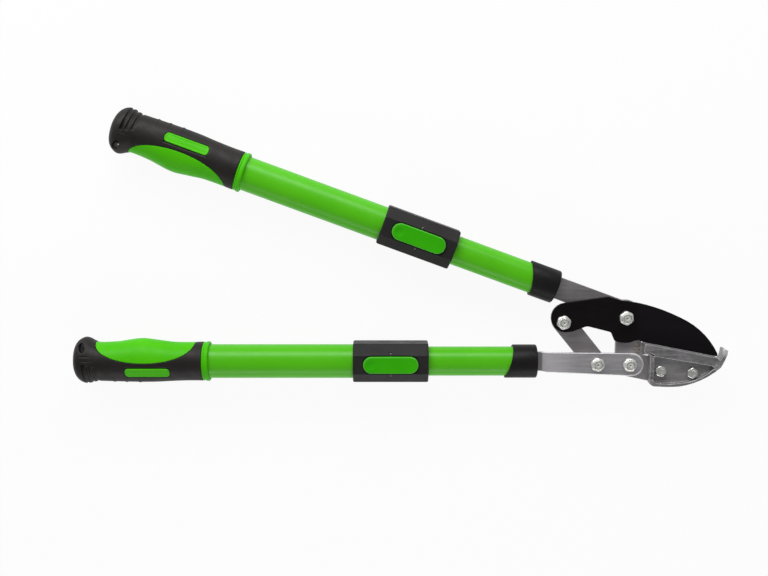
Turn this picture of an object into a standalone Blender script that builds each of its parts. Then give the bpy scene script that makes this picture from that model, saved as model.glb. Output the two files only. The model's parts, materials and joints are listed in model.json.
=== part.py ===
"""Telescopic anvil lopper, lying flat with its jaws closed and both handles pushed in.

The head lies in the XY plane with the blade's pivot at its origin, +X towards the blade's tip
and +Z towards the side that the nuts are on. Each handle has its own frame: x runs back from
the front of its ferrule, z is +Z, and y is crosswise, so one function builds both handles.
All sizes are in metres.
"""

import math

import bmesh
import bpy
from mathutils import Matrix, Vector

# Fits
GAP = 0.0003  # between two pieces that touch
GUIDE_GAP = 0.0004  # between the inner tube and the housing that guides it
LINK_BAR_PLAY = 0.0018  # room round the bolt that joins the link to the lower bar
BUTTON_MARGIN = 0.0007  # between the lock button and the window it sits in
LOCK_HOLE_ROOM = 0.0005  # round the lock pin, in the inner tube's holes
HEEL_ROOM = 0.0021  # between the jaw plate's front edge and the anvil's heel
FLANGE_ROOM = 0.0053  # between the jaw plate's arm and the anvil's back flange
CUTTER_OVERRUN = 0.002  # how far a cutter runs past what it cuts

# Plates of the head
BACK_PLATE = 0.005  # jaw plate and link
FRONT_PLATE = 0.004  # blade and lower bar
BAR_WIDTH = 0.022  # the upper handle's bar
LOWER_BAR_TANG = 0.020  # width of the lower bar where it enters the handle
LOWER_BAR_HEEL = 0.0232  # width of the lower bar at its pivot
LOWER_BAR_DROP = 0.0006  # of the middle of its round end under the pivot
LINK_WIDTH = 0.0216
TANG_LENGTH = 0.055  # how far each bar reaches into its handle
JOGGLE_START = 0.0035  # ahead of the lower ferrule
JOGGLE_LENGTH = 0.007

# Pivots, from the blade's pivot
LINK_BLADE_PIVOT = (-0.0623, -0.0045)
LINK_BAR_PIVOT = (-0.0276, -0.0471)
BAR_PIVOT = (0.0048, -0.0475)
ANVIL_BOLT_PLACES = ((0.0361, -0.0541), (0.0679, -0.0560))

# Pivot bolts and their lock nuts
BOLT_D = 0.008
BOLT_AF = 0.013
BOLT_HEAD = 0.0053
NUT_HEIGHT = 0.008
NUT_COLLAR = 0.0022
NUT_COLLAR_D = 0.0112
BOLT_SET_IN = 0.0012  # the bolt's end lies this far inside its nut
HEAD_CHAMFER = 0.08  # share of a bolt head's height that its chamfer takes
HEAD_FACE = 0.94  # share of a bolt head's width across flats that its flat end has

# Anvil and its bolts
ANVIL_HEEL = (0.0193, -0.0258)  # rear end of the face that the blade closes on
ANVIL_SLOPE = math.radians(11.1)  # how far the face drops towards the tip
ANVIL_FACE = 0.0732  # length of the face
ANVIL_DEPTH = 0.015
ANVIL_FLANGE = 0.0093  # thickness under the face, in front of the web
ANVIL_BACK_FLANGE = 0.0080  # thickness under the face, behind the web
ANVIL_BOLT_D = 0.006
ANVIL_BOLT_AF = 0.010
ANVIL_BOLT_HEAD = 0.0040
ANVIL_NUT_HEIGHT = 0.0050

# Anvil outline in the head's frame, each point with its fillet where it has one
HOOK_FRONT = ((0.0943, -0.0429, 0.0010), (0.0970, -0.0385), (0.0982, -0.0308, 0.0010),
              (0.1019, -0.0326, 0.0012))
HOOK_BACK = ((0.1014, -0.0368), (0.0989, -0.0431))
ANVIL_CHEEK = (0.0953, -0.0501)
ANVIL_CURVE = (0.0768, -0.0624)
ANVIL_BELLY = (0.0541, -0.0694)
ANVIL_SOLE = ((0.0430, -0.0698), (0.0243, -0.0690, 0.0050), (0.0243, -0.0372, 0.0010))
ANVIL_EAR = 0.0090  # height of the anvil's end behind the blade's heel
RECESS_TOP = ((0.0115, 0.0013), (0.0700, -0.0003))  # along the face, and under the flange
RECESS_CURVE = ((0.0891, -0.0507), (0.0752, -0.0603), (0.0550, -0.0658))
RECESS_SOLE = ((0.0430, -0.0668), (0.0283, -0.0655, 0.0030))

# Jaw plate
BLADE_BOSS = 0.0172  # radius of the plate round the blade's pivot
BAR_BOSS = 0.0132  # radius of the plate round the lower bar's pivot
ANVIL_BOSS = 0.0075  # radius of the plate round the front anvil bolt

# Blade
BLADE_TAIL_R = 0.0148
BLADE_TAIL_OFFSET = (0.0025, 0.0042)  # centre of the tail's round end, from the link's pivot
BLADE_HEEL_R = 0.0258
BLADE_EDGE = 0.0757  # length of the cutting edge
EDGE_THICKNESS = 0.0007
GRIND_DEPTH = 0.030  # how far the ground taper reaches from the edge
GRIND_START_X = 0.0125

# Blade outline in the head's frame
BLADE_SPINE = ((-0.0061, 0.0174), (0.0274, 0.0107), (0.0545, -0.0001))
BLADE_NOSE = ((0.0757, -0.0138), (0.0934, -0.0368))
BLADE_TIP_R = 0.0012
BLADE_CREST = (-0.0173, 0.0209, 0.0040)
BLADE_THROAT = ((-0.0530, -0.0143), (-0.0385, -0.0088, 0.0070), (-0.0142, -0.0150, 0.0040))
BLADE_HEEL = ((0.0094, -0.0236), (0.0139, -0.0232))

# Handles
HANDLE_ANGLE = math.radians(20.17)  # between the two handles when the jaws are closed
UPPER_AXIS_RISE = 0.0039  # of the upper handle's axis over the blade's pivot
UPPER_REACH = 0.0756  # from the blade's pivot to the upper ferrule, along the axis
LOWER_AXIS_DROP = 0.0456  # of the lower handle's axis under the blade's pivot
LOWER_REACH = 0.0879  # from the blade's pivot to the lower ferrule, along the axis

# Tubes
OUTER_TUBE_D = 0.034
INNER_TUBE_D = 0.0294
TUBE_WALL = 0.0014
SLIDE_TRAVEL = 0.250
LOCK_STEP = 0.050  # between the holes that the lock pin drops in
TUBE_SLOT_END = 0.0065  # of the outer tube's slot behind the rocker pin
BUSH_FLANGE = 0.008  # length of the tail bush that runs in the outer tube
BUSH_SPIGOT = 0.013  # length of the tail bush inside the inner tube
BUSH_WALL = 0.004
BUSH_ROOM = 0.012  # behind the tail bush, handle pushed in

# Ferrule and what holds the bar
FERRULE_D = 0.0336
FERRULE_LONG = 0.0320  # along the side that faces away from the other handle
FERRULE_SHORT = 0.0240
FERRULE_FACE = 0.0025
FERRULE_EDGE = 0.0013
MOUTH_CURVE = 1.4  # how the mouth's slant grows across the ferrule, 1 being straight
INSERT_LENGTH = 0.056
RIVET_D = 0.005
RIVET_PLACES = (0.0095, 0.0185)  # behind the ferrule's front

# Lock housing and button
HOUSING_START = 0.1090  # behind the ferrule's front, handle pushed in
HOUSING_LENGTH = 0.0755
HOUSING_WIDTH = 0.0390
HOUSING_DEPTH = 0.0400
HOUSING_FLAT = 0.0188  # width of the face that holds the button
HOUSING_GUIDE = 0.0070
HOUSING_EDGE = 0.0010
BUTTON_LENGTH = 0.0550
BUTTON_WIDTH = 0.0173
BUTTON_PROUD = 0.0026
BUTTON_EDGE = ((0, 0.0017), (0.0008, 0.0007), (0.0026, 0.0002), (0.0050, 0))  # inset, depth
BUTTON_ROOM = 0.0008  # between the inner tube and the button
BUTTON_TRAVEL = math.radians(6.0)
BUTTON_BOSS_WALL = 0.0027  # round the rocker pin
DIMPLE_R = 0.014
DIMPLE_DEPTH = 0.0009
DIMPLE_OFFSET = 0.0198  # of the dimple behind the rocker pin
ROCKER_PIN_D = 0.003
ROCKER_PIN_LENGTH = 0.0232
ROCKER_PIN_DROP = 0.0023  # of the pin's axis under the housing's face
LOCK_PIN_D = 0.0056
LOCK_PIN_OFFSET = 0.020  # ahead of the rocker pin
LOCK_PIN_ROOF = 0.0032  # thickness of the button over the lock pin
SPRING_OFFSET = 0.018  # behind the rocker pin
SPRING_ROOF = 0.0020  # thickness of the button over the spring
SPRING_D = 0.0060
SPRING_WIRE_D = 0.0007
SPRING_TURNS = 2.25
SCREW_INSET = 0.008  # of the housing's screw from the housing's rear end
SCREW_D = 0.0029
SCREW_HEAD_D = 0.0058
SCREW_RIM = 0.0005  # height of the head's straight rim
SCREW_SUNK = 0.0002  # of the head under the housing's back

# Grip
GRIP_START = 0.3285
GRIP_LENGTH = 0.1380
RING_D = 0.0400
RING_LENGTH = 0.0066
RING_EDGE = 0.0012
CORE_WALL = 0.0008
GRIP_REACH = 0.030  # half the depth of the cutters that run through the grip
BUTT_THICKNESS = 0.0165
HANG_HOLE_D = 0.0066
HANG_HOLE_INSET = 0.0120  # of the hanging hole from the butt's end
HANG_HOLE_OFFSET = 0.0165  # of the hanging hole from the handle's axis

# Grip stations: distance from the butt's end, and how far the grip reaches from its axis
# towards the other handle, away from it, and in depth
GRIP_STATIONS = (
    (0.0000, 0.0165, 0.0150, 0.0140),
    (0.0018, 0.0203, 0.0187, 0.0175),
    (0.0055, 0.0231, 0.0209, 0.0194),
    (0.0120, 0.0251, 0.0224, 0.0200),
    (0.0170, 0.0238, 0.0218, 0.0199),
    (0.0220, 0.0208, 0.0204, 0.0197),
    (0.0290, 0.0195, 0.0200, 0.0196),
    (0.0450, 0.0203, 0.0205, 0.0196),
    (0.0690, 0.0235, 0.0210, 0.0200),
    (0.0860, 0.0217, 0.0208, 0.0198),
    (0.1010, 0.0197, 0.0200, 0.0196),
    (0.1180, 0.0194, 0.0195, 0.0195),
)

# Palm panel seen from the front: its ends and its deepest point, from the butt's end and
# from the handle's axis
PANEL_REAR = (0.0235, 0.0215)
PANEL_LOW = (0.0740, 0.0010)
PANEL_FRONT = (0.1240, 0.0215)
PAD_CENTRE = (0.0775, -0.0085)
PAD_LENGTH = 0.0450
PAD_WIDTH = 0.0095
PAD_CORNER = 0.0038

TUBE_SIDES = 32
GRIP_SIDES = 24
BOLT_SIDES = 18
PIN_SIDES = 12
FILLET_STEPS = 3

# Layers of the head, from the plane in the middle of the tubes
BACK_Z = (-BACK_PLATE / 2, BACK_PLATE / 2)
FRONT_Z = (BACK_PLATE / 2 + GAP, BACK_PLATE / 2 + GAP + FRONT_PLATE)
BLADE_MIDDLE = (FRONT_Z[0] + FRONT_Z[1]) / 2
ANVIL_Z = (BLADE_MIDDLE - ANVIL_DEPTH / 2, BLADE_MIDDLE + ANVIL_DEPTH / 2)

OUTER_R = OUTER_TUBE_D / 2
INNER_R = INNER_TUBE_D / 2
OUTER_BORE = OUTER_R - TUBE_WALL
INNER_BORE = INNER_R - TUBE_WALL

BUTTON_CENTRE = HOUSING_START + HOUSING_LENGTH / 2
HOUSING_END = HOUSING_START + HOUSING_LENGTH
HOUSING_FACE = HOUSING_DEPTH / 2
ROCKER_Z = HOUSING_FACE - ROCKER_PIN_DROP
GRIP_END = GRIP_START + GRIP_LENGTH
CORE_END = GRIP_END - BUTT_THICKNESS
CORE_BORE = OUTER_R + GAP
CORE_R = CORE_BORE + CORE_WALL
OUTER_TUBE_START = HOUSING_START + HOUSING_GUIDE + GAP
OUTER_TUBE_END = CORE_END - TUBE_WALL - GAP
INNER_TUBE_START = FERRULE_FACE + GAP
INNER_TUBE_END = OUTER_TUBE_END - BUSH_FLANGE - BUSH_ROOM

# Heights over the rocker pin's axis
BUTTON_TOP = ROCKER_PIN_DROP + BUTTON_PROUD
LOCK_PIN_TOP = BUTTON_TOP - LOCK_PIN_ROOF
SPRING_TOP = BUTTON_TOP - SPRING_ROOF


def srgb(red, green, blue):
    """A colour as it is seen, as the linear value that a shader takes."""
    shades = []
    for value in (red, green, blue):
        share = value / 255
        shades.append(share / 12.92 if share < 0.04045 else ((share + 0.055) / 1.055) ** 2.4)
    return (*shades, 1.0)


def finish(name, colour, roughness, metallic):
    material = bpy.data.materials.new(name)
    material.use_nodes = True
    shader = material.node_tree.nodes["Principled BSDF"]
    shader.inputs["Base Color"].default_value = colour
    shader.inputs["Roughness"].default_value = roughness
    shader.inputs["Metallic"].default_value = metallic
    material.diffuse_color = colour
    return material


GREEN_PAINT = ("green_paint", srgb(84, 186, 38), 0.35, 0.0)
GREEN_PLASTIC = ("green_plastic", srgb(72, 186, 24), 0.42, 0.0)
BLACK_RUBBER = ("black_rubber", srgb(44, 42, 43), 0.65, 0.0)
BLACK_PLASTIC = ("black_plastic", srgb(48, 45, 47), 0.45, 0.0)
COATED_BLADE = ("coated_blade", srgb(20, 16, 15), 0.35, 0.3)
DARK_STEEL = ("dark_steel", srgb(106, 104, 107), 0.40, 0.9)
BRIGHT_STEEL = ("bright_steel", srgb(148, 148, 152), 0.35, 0.9)
ZINC = ("zinc_plate", srgb(205, 205, 200), 0.30, 0.9)
CAST_STEEL = ("cast_steel", srgb(122, 120, 122), 0.50, 0.8)
INNER_PLASTIC = ("inner_plastic", srgb(60, 60, 62), 0.50, 0.0)

for old in list(bpy.data.objects):
    bpy.data.objects.remove(old, do_unlink=True)

FINISHES = {}


def put(name, mesh, parent, look=None, frame=None):
    """Links an object to the scene under an empty. frame is the empty's matrix in the frame
    that the mesh is drawn in, where the two differ."""
    if look and look[0] not in FINISHES:
        FINISHES[look[0]] = finish(*look)
    thing = bpy.data.objects.new(name, mesh)
    bpy.context.scene.collection.objects.link(thing)
    thing.parent = parent
    if frame is not None:
        thing.matrix_parent_inverse = frame.inverted()
    if look:
        mesh.materials.append(FINISHES[look[0]])
        mesh.shade_smooth()
        mesh.set_sharp_from_angle(angle=math.radians(30))
    else:
        thing.hide_render = True
        thing.display_type = "WIRE"
    return thing


def empty(name, parent, matrix):
    frame = bpy.data.objects.new(name, None)
    bpy.context.scene.collection.objects.link(frame)
    frame.parent = parent
    frame.matrix_local = matrix
    return frame


def to_mesh(name, shape):
    bmesh.ops.remove_doubles(shape, verts=shape.verts, dist=1e-7)
    bmesh.ops.recalc_face_normals(shape, faces=shape.faces)
    mesh = bpy.data.meshes.new(name)
    shape.to_mesh(mesh)
    shape.free()
    return mesh


def loft(name, rings, closed=False):
    """A skin over rings of equal count. closed joins the last ring to the first, as round a
    tube's wall, and otherwise both ends get a cap."""
    shape = bmesh.new()
    loops = [[shape.verts.new(point) for point in ring] for ring in rings]
    pairs = list(zip(loops, loops[1:]))
    if closed:
        pairs.append((loops[-1], loops[0]))
    else:
        shape.faces.new(loops[0])
        shape.faces.new(loops[-1])
    for near, far in pairs:
        for i in range(len(near)):
            shape.faces.new((near[i - 1], near[i], far[i], far[i - 1]))
    return to_mesh(name, shape)


def prism(name, outline, low, high):
    """An outline in XY, extruded from z = low to z = high."""
    shape = bmesh.new()
    face = shape.faces.new([shape.verts.new((x, y, low)) for x, y in outline])
    grown = bmesh.ops.extrude_face_region(shape, geom=[face])["geom"]
    top = [item for item in grown if isinstance(item, bmesh.types.BMVert)]
    bmesh.ops.translate(shape, verts=top, vec=(0, 0, high - low))
    return to_mesh(name, shape)


def side_prism(name, outline, half_width):
    """An outline in XZ, extruded from y = -half_width to y = half_width."""
    mesh = prism(name, outline, -half_width, half_width)
    mesh.transform(Matrix(((1, 0, 0, 0), (0, 0, -1, 0), (0, 1, 0, 0), (0, 0, 0, 1))))
    return mesh


def disc(radius, sides, turn=0.0):
    """Points of a circle, as (across, up)."""
    step = 2 * math.pi / sides
    return [(radius * math.cos(step * i + turn), radius * math.sin(step * i + turn))
            for i in range(sides)]


def hexagon(across_flats, sides):
    """Points of a hexagon, with sides / 6 points along each flat."""
    points = []
    for i in range(sides):
        turn = 2 * math.pi * i / sides
        off_flat = (turn + math.pi / 6) % (math.pi / 3) - math.pi / 6
        reach = across_flats / 2 / math.cos(abs(off_flat))
        points.append((reach * math.cos(turn), reach * math.sin(turn)))
    return points


def upright(points, z):
    return [(x, y, z) for x, y in points]


def crosswise(points, x):
    return [(x, y, z) for y, z in points]


def tube(name, radius, bore, start, end, sides=TUBE_SIDES):
    rings = [crosswise(disc(r, sides), x)
             for r, x in ((radius, start), (radius, end), (bore, end), (bore, start))]
    return loft(name, rings, closed=True)


def rod(name, sections, sides):
    """A solid turned round z, from pairs of radius and z."""
    return loft(name, [upright(disc(r, sides), z) for r, z in sections])


def lie(mesh):
    """Turns a mesh made along z to lie along y."""
    mesh.transform(Matrix.Rotation(-math.pi / 2, 4, "X"))
    return mesh


def shift(mesh, x=0.0, y=0.0, z=0.0):
    mesh.transform(Matrix.Translation((x, y, z)))
    return mesh


def boolean(target, other, operation="DIFFERENCE"):
    step = target.modifiers.new(operation.title(), "BOOLEAN")
    step.operation = operation
    step.object = other
    step.solver = "EXACT"


def cut(target, mesh, parent, frame=None, operation="DIFFERENCE"):
    boolean(target, put(mesh.name, mesh, parent, frame=frame), operation)


def through(low, high):
    """The ends of a cutter that runs right through what lies between low and high."""
    return low - CUTTER_OVERRUN, high + CUTTER_OVERRUN


def drill(target, places, diameter, low, high, parent, frame=None, sides=BOLT_SIDES):
    """Round holes along z through target, one boolean each."""
    for count, (x, y) in enumerate(places):
        name = f"{target.name}_hole_{count}_{round(diameter * 1e5)}"
        hole = rod(name, ((diameter / 2, low), (diameter / 2, high)), sides)
        cut(target, shift(hole, x, y), parent, frame)


def arc(centre, radius, start, end, steps):
    """Points of an arc, angles in degrees."""
    points = []
    for i in range(steps + 1):
        turn = math.radians(start + (end - start) * i / steps)
        points.append((centre[0] + radius * math.cos(turn), centre[1] + radius * math.sin(turn)))
    return points


def arc_through(start, middle, end, steps):
    """Points of the circle through three points, without the last one."""
    (ax, ay), (bx, by), (cx, cy) = start, middle, end
    d = 2 * (ax * (by - cy) + bx * (cy - ay) + cx * (ay - by))
    a2, b2, c2 = ax * ax + ay * ay, bx * bx + by * by, cx * cx + cy * cy
    centre = ((a2 * (by - cy) + b2 * (cy - ay) + c2 * (ay - by)) / d,
              (a2 * (cx - bx) + b2 * (ax - cx) + c2 * (bx - ax)) / d)
    radius = math.dist(centre, start)
    first = math.atan2(ay - centre[1], ax - centre[0])
    last = math.atan2(cy - centre[1], cx - centre[0])
    sweep = (last - first + math.pi) % (2 * math.pi) - math.pi
    return [(centre[0] + radius * math.cos(first + sweep * i / steps),
             centre[1] + radius * math.sin(first + sweep * i / steps)) for i in range(steps)]


def rounded(corners, steps=FILLET_STEPS):
    """An outline of (x, y) or (x, y, fillet radius) corners, with the fillets drawn in."""
    points = []
    count = len(corners)
    for i, corner in enumerate(corners):
        here = Vector(corner[:2])
        if len(corner) < 3:
            points.append(tuple(here))
            continue
        back = (Vector(corners[i - 1][:2]) - here).normalized()
        ahead = (Vector(corners[(i + 1) % count][:2]) - here).normalized()
        half = back.angle(ahead) / 2
        centre = here + (back + ahead).normalized() * (corner[2] / math.sin(half))
        reach = corner[2] / math.tan(half)
        first = here + back * reach - centre
        last = here + ahead * reach - centre
        sweep = first.angle_signed(last)
        points += [tuple(centre + Matrix.Rotation(-sweep * k / steps, 2) @ first)
                   for k in range(steps + 1)]
    return points


def stadium(length, width, steps=8):
    """Points of a bar with round ends, centred on the origin."""
    reach = (length - width) / 2
    return (arc((reach, 0), width / 2, -90, 90, steps)
            + arc((-reach, 0), width / 2, 90, 270, steps))


# Frames
UPPER_X = Vector((-math.cos(HANDLE_ANGLE), math.sin(HANDLE_ANGLE)))
UPPER_OUT = Vector((math.sin(HANDLE_ANGLE), math.cos(HANDLE_ANGLE)))
UPPER_FRONT = UPPER_OUT * UPPER_AXIS_RISE + UPPER_X * UPPER_REACH
LOWER_FRONT = Vector((-LOWER_REACH, -LOWER_AXIS_DROP))


def place(x, y, turn=0.0):
    return Matrix.Translation((x, y, 0)) @ Matrix.Rotation(turn, 4, "Z")


HEAD = Matrix.Identity(4)
LINK_FRAME = place(*LINK_BLADE_PIVOT)
BAR_FRAME = place(*BAR_PIVOT)
LOWER_FRAME = place(*LOWER_FRONT, math.pi)
UPPER_FRAME = place(*UPPER_FRONT, math.pi - HANDLE_ANGLE)

lopper = empty("lopper", None, HEAD)
blade_pivot = empty("blade_pivot", lopper, HEAD)
link_pivot = empty("link_pivot", blade_pivot, LINK_FRAME)
bar_pivot = empty("bar_pivot", lopper, BAR_FRAME)
upper_handle = empty("upper_handle", lopper, UPPER_FRAME)
lower_handle = empty("lower_handle", bar_pivot, BAR_FRAME.inverted() @ LOWER_FRAME)


def beside_upper(back, out):
    """A point in the head's frame, from one along and beside the upper handle's axis."""
    return tuple(UPPER_FRONT + UPPER_X * back + UPPER_OUT * out)


def on_face(along, below):
    """A point along the anvil's face and under it."""
    sine, cosine = math.sin(ANVIL_SLOPE), math.cos(ANVIL_SLOPE)
    return (ANVIL_HEEL[0] + along * cosine - below * sine,
            ANVIL_HEEL[1] - along * sine - below * cosine)


def beside(pivot, x, y, *fillet):
    return (pivot[0] + x, pivot[1] + y, *fillet)


def jaw_plate():
    half = BAR_WIDTH / 2
    outer_edge = UPPER_AXIS_RISE + half
    meet = math.degrees(math.pi / 2 - HANDLE_ANGLE + math.acos(outer_edge / BLADE_BOSS))
    left = BAR_PIVOT[0] - BAR_BOSS
    edge_x, edge_y = beside_upper(0, -half)
    corner_y = edge_y - (left - edge_x) * math.tan(HANDLE_ANGLE)
    rear_bolt, front_bolt = ANVIL_BOLT_PLACES
    front_edge = ANVIL_HEEL[0] - HEEL_ROOM
    arm_top = on_face(0, ANVIL_BACK_FLANGE + FLANGE_ROOM)[1]
    outline = rounded([
        beside_upper(TANG_LENGTH, half),
        *arc((0, 0), BLADE_BOSS, meet, 0, 8),
        (front_edge, arm_top, 0.002),
        *arc(front_bolt, ANVIL_BOSS, 80, -80, 6),
        beside(rear_bolt, 0.006, -0.0122, 0.010),
        beside(rear_bolt, -0.010, -0.0115, 0.012),
        *arc(BAR_PIVOT, BAR_BOSS, 262, 180, 5),
        (left, corner_y, 0.008),
        beside_upper(TANG_LENGTH, -half),
    ])
    plate = put("jaw_plate", prism("jaw_plate", outline, *BACK_Z), lopper, DARK_STEEL)
    reach = through(*BACK_Z)
    drill(plate, ((0, 0), BAR_PIVOT), BOLT_D + 2 * GAP, *reach, lopper)
    drill(plate, ANVIL_BOLT_PLACES, ANVIL_BOLT_D + 2 * GAP, *reach, lopper, sides=PIN_SIDES)
    rivets = [beside_upper(back, 0) for back in RIVET_PLACES]
    drill(plate, rivets, RIVET_D + 2 * GAP, *reach, lopper, sides=PIN_SIDES)


def blade_outline():
    tail = beside(LINK_BLADE_PIVOT, *BLADE_TAIL_OFFSET)
    spine = arc_through(*BLADE_SPINE, 7)
    nose = arc_through(BLADE_SPINE[-1], *BLADE_NOSE, 7)
    return rounded([
        (*on_face(BLADE_EDGE, -GAP), BLADE_TIP_R),
        *reversed([*spine, *nose, BLADE_NOSE[-1]]),
        BLADE_CREST,
        *arc(tail, BLADE_TAIL_R, 97, 268, 12),
        *BLADE_THROAT,
        *arc((0, 0), BLADE_HEEL_R, 246, 284, 5),
        *BLADE_HEEL,
        on_face(0, -GAP),
    ])


def blade():
    body = put("blade", prism("blade", blade_outline(), *FRONT_Z), blade_pivot, COATED_BLADE)
    drill(body, ((0, 0), LINK_BLADE_PIVOT), BOLT_D + 2 * GAP, *through(*FRONT_Z), blade_pivot)
    rise = (FRONT_PLATE - EDGE_THICKNESS) / 2 / GRIND_DEPTH
    slope = math.sin(ANVIL_SLOPE)
    over = CUTTER_OVERRUN

    def grind(side):
        """A wedge that takes the blade's face down towards the edge, on one side."""
        rings = []
        for end in (False, True):
            ring = []
            for up, lift in ((-over, 0), (GRIND_DEPTH, 0), (GRIND_DEPTH, over), (-over, over)):
                along = (GRIND_START_X - ANVIL_HEEL[0] - slope * up) / math.cos(ANVIL_SLOPE)
                x, y = on_face(BLADE_EDGE + 5 * over if end else along, -GAP - up)
                z = EDGE_THICKNESS / 2 + rise * up + lift
                ring.append((x, y, BLADE_MIDDLE + side * z))
            rings.append(ring)
        return rings

    cut(body, loft("blade_grind_front", grind(1)), blade_pivot)
    cut(body, loft("blade_grind_back", grind(-1)), blade_pivot)


def anvil():
    face = [(*on_face(0, 0), 0.0012), on_face(ANVIL_FACE, 0), *HOOK_FRONT]
    outline = rounded([
        *face,
        *arc_through(*HOOK_BACK, ANVIL_CHEEK, 3),
        *arc_through(ANVIL_CHEEK, ANVIL_CURVE, ANVIL_BELLY, 6),
        ANVIL_BELLY,
        *ANVIL_SOLE,
        (*on_face(0, ANVIL_EAR), 0.003),
    ])
    body = put("anvil", prism("anvil", outline, FRONT_Z[0], ANVIL_Z[1]), lopper, CAST_STEEL)
    recess_heel, recess_toe = (on_face(along, ANVIL_FLANGE + under) for along, under in RECESS_TOP)
    lip = rounded([
        *face,
        *HOOK_BACK,
        ANVIL_CHEEK,
        on_face(RECESS_TOP[-1][0], ANVIL_BACK_FLANGE),
        (*on_face(0, ANVIL_BACK_FLANGE), 0.003),
    ])
    back = prism("anvil_back", lip, ANVIL_Z[0], FRONT_Z[0] + CUTTER_OVERRUN)
    cut(body, back, lopper, operation="UNION")
    recess = rounded([
        (*recess_heel, 0.0015),
        (*recess_toe, 0.001),
        *arc_through(*RECESS_CURVE, 5),
        RECESS_CURVE[-1],
        *RECESS_SOLE,
    ])
    cut(body, prism("anvil_recess", recess, FRONT_Z[1], ANVIL_Z[1] + CUTTER_OVERRUN), lopper)
    drill(body, ANVIL_BOLT_PLACES, ANVIL_BOLT_D + 2 * GAP, *through(*FRONT_Z), lopper,
          sides=PIN_SIDES)


def link():
    length = math.dist(LINK_BLADE_PIVOT, LINK_BAR_PIVOT)
    turn = math.atan2(LINK_BAR_PIVOT[1] - LINK_BLADE_PIVOT[1],
                      LINK_BAR_PIVOT[0] - LINK_BLADE_PIVOT[0])
    middle = [(a + b) / 2 for a, b in zip(LINK_BLADE_PIVOT, LINK_BAR_PIVOT)]
    mesh = prism("link", stadium(length + LINK_WIDTH, LINK_WIDTH, 10), *BACK_Z)
    mesh.transform(place(*middle, turn))
    bar = put("link", mesh, link_pivot, DARK_STEEL, LINK_FRAME)
    reach = through(*BACK_Z)
    drill(bar, (LINK_BLADE_PIVOT,), BOLT_D + 2 * GAP, *reach, link_pivot, LINK_FRAME)
    drill(bar, (LINK_BAR_PIVOT,), BOLT_D + 2 * LINK_BAR_PLAY, *reach, link_pivot, LINK_FRAME)


def lower_bar():
    """The lower bar steps from the middle of the tube to the front layer by a joggle."""
    end_x = LOWER_FRONT[0] - TANG_LENGTH
    tang = LOWER_BAR_TANG / 2
    heel = LOWER_BAR_HEEL / 2
    heel_centre = beside(BAR_PIVOT, 0, -LOWER_BAR_DROP)
    step_back = LOWER_FRONT[0] + JOGGLE_START
    step_front = step_back + JOGGLE_LENGTH
    half = FRONT_PLATE / 2
    outline = [
        (end_x, LOWER_FRONT[1] + tang),
        (step_back, LOWER_FRONT[1] + tang),
        *arc(heel_centre, heel, 91, -91, 14),
        (step_back, LOWER_FRONT[1] - tang),
        (end_x, LOWER_FRONT[1] - tang),
    ]
    rear = end_x - CUTTER_OVERRUN
    front = BAR_PIVOT[0] + 2 * heel
    profile = [
        (rear, -half),
        (step_back, -half),
        (step_front, FRONT_Z[0]),
        (front, FRONT_Z[0]),
        (front, FRONT_Z[1]),
        (step_front, FRONT_Z[1]),
        (step_back, half),
        (rear, half),
    ]
    mesh = shift(side_prism("lower_bar", profile, 2 * heel), 0, BAR_PIVOT[1])
    bar = put("lower_bar", mesh, bar_pivot, BRIGHT_STEEL, BAR_FRAME)
    plan = prism("lower_bar_plan", outline, *through(-half, FRONT_Z[1]))
    cut(bar, plan, bar_pivot, BAR_FRAME, "INTERSECT")
    drill(bar, (LINK_BAR_PIVOT, BAR_PIVOT), BOLT_D + 2 * GAP, *through(*FRONT_Z), bar_pivot,
          BAR_FRAME)
    rivets = [(LOWER_FRONT[0] - back, LOWER_FRONT[1]) for back in RIVET_PLACES]
    drill(bar, rivets, RIVET_D + 2 * GAP, *through(-half, half), bar_pivot, BAR_FRAME,
          sides=PIN_SIDES)


def bolt_mesh(name, across_flats, head, shank_d, low, high, sides):
    """A hexagon bolt with its head under z = low, and its shank up to z = high."""
    r = shank_d / 2
    rim = HEAD_CHAMFER * head
    return loft(name, [
        upright(disc(across_flats / 2 * HEAD_FACE, sides), low - head),
        upright(hexagon(across_flats, sides), low - head + rim),
        upright(hexagon(across_flats, sides), low),
        upright(disc(r, sides), low),
        upright(disc(r, sides), high - r / 8),
        upright(disc(r * 7 / 8, sides), high),
    ])


def pivot_bolt(name, pivot, parent, frame=None):
    """A pivot's bolt, head at the back, and its lock nut with a round collar at the front."""
    nut_low = FRONT_Z[1] + GAP
    nut_high = nut_low + NUT_HEIGHT
    collar = nut_high - NUT_COLLAR
    bolt = bolt_mesh(f"{name}_bolt", BOLT_AF, BOLT_HEAD, BOLT_D, BACK_Z[0] - GAP,
                     nut_high - BOLT_SET_IN, BOLT_SIDES)
    put(f"{name}_bolt", shift(bolt, *pivot), parent, ZINC, frame)
    bore = BOLT_D / 2 + GAP
    nut = loft(f"{name}_nut", [
        upright(hexagon(BOLT_AF, BOLT_SIDES), nut_low),
        upright(hexagon(BOLT_AF, BOLT_SIDES), collar),
        upright(disc(NUT_COLLAR_D / 2, BOLT_SIDES), collar),
        upright(disc(NUT_COLLAR_D / 2, BOLT_SIDES), nut_high - NUT_COLLAR / 4),
        upright(disc((NUT_COLLAR_D / 2 + bore) / 2, BOLT_SIDES), nut_high),
        upright(disc(bore, BOLT_SIDES), nut_high),
        upright(disc(bore, BOLT_SIDES), nut_low),
    ], closed=True)
    put(f"{name}_nut", shift(nut, *pivot), parent, ZINC, frame)


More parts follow.
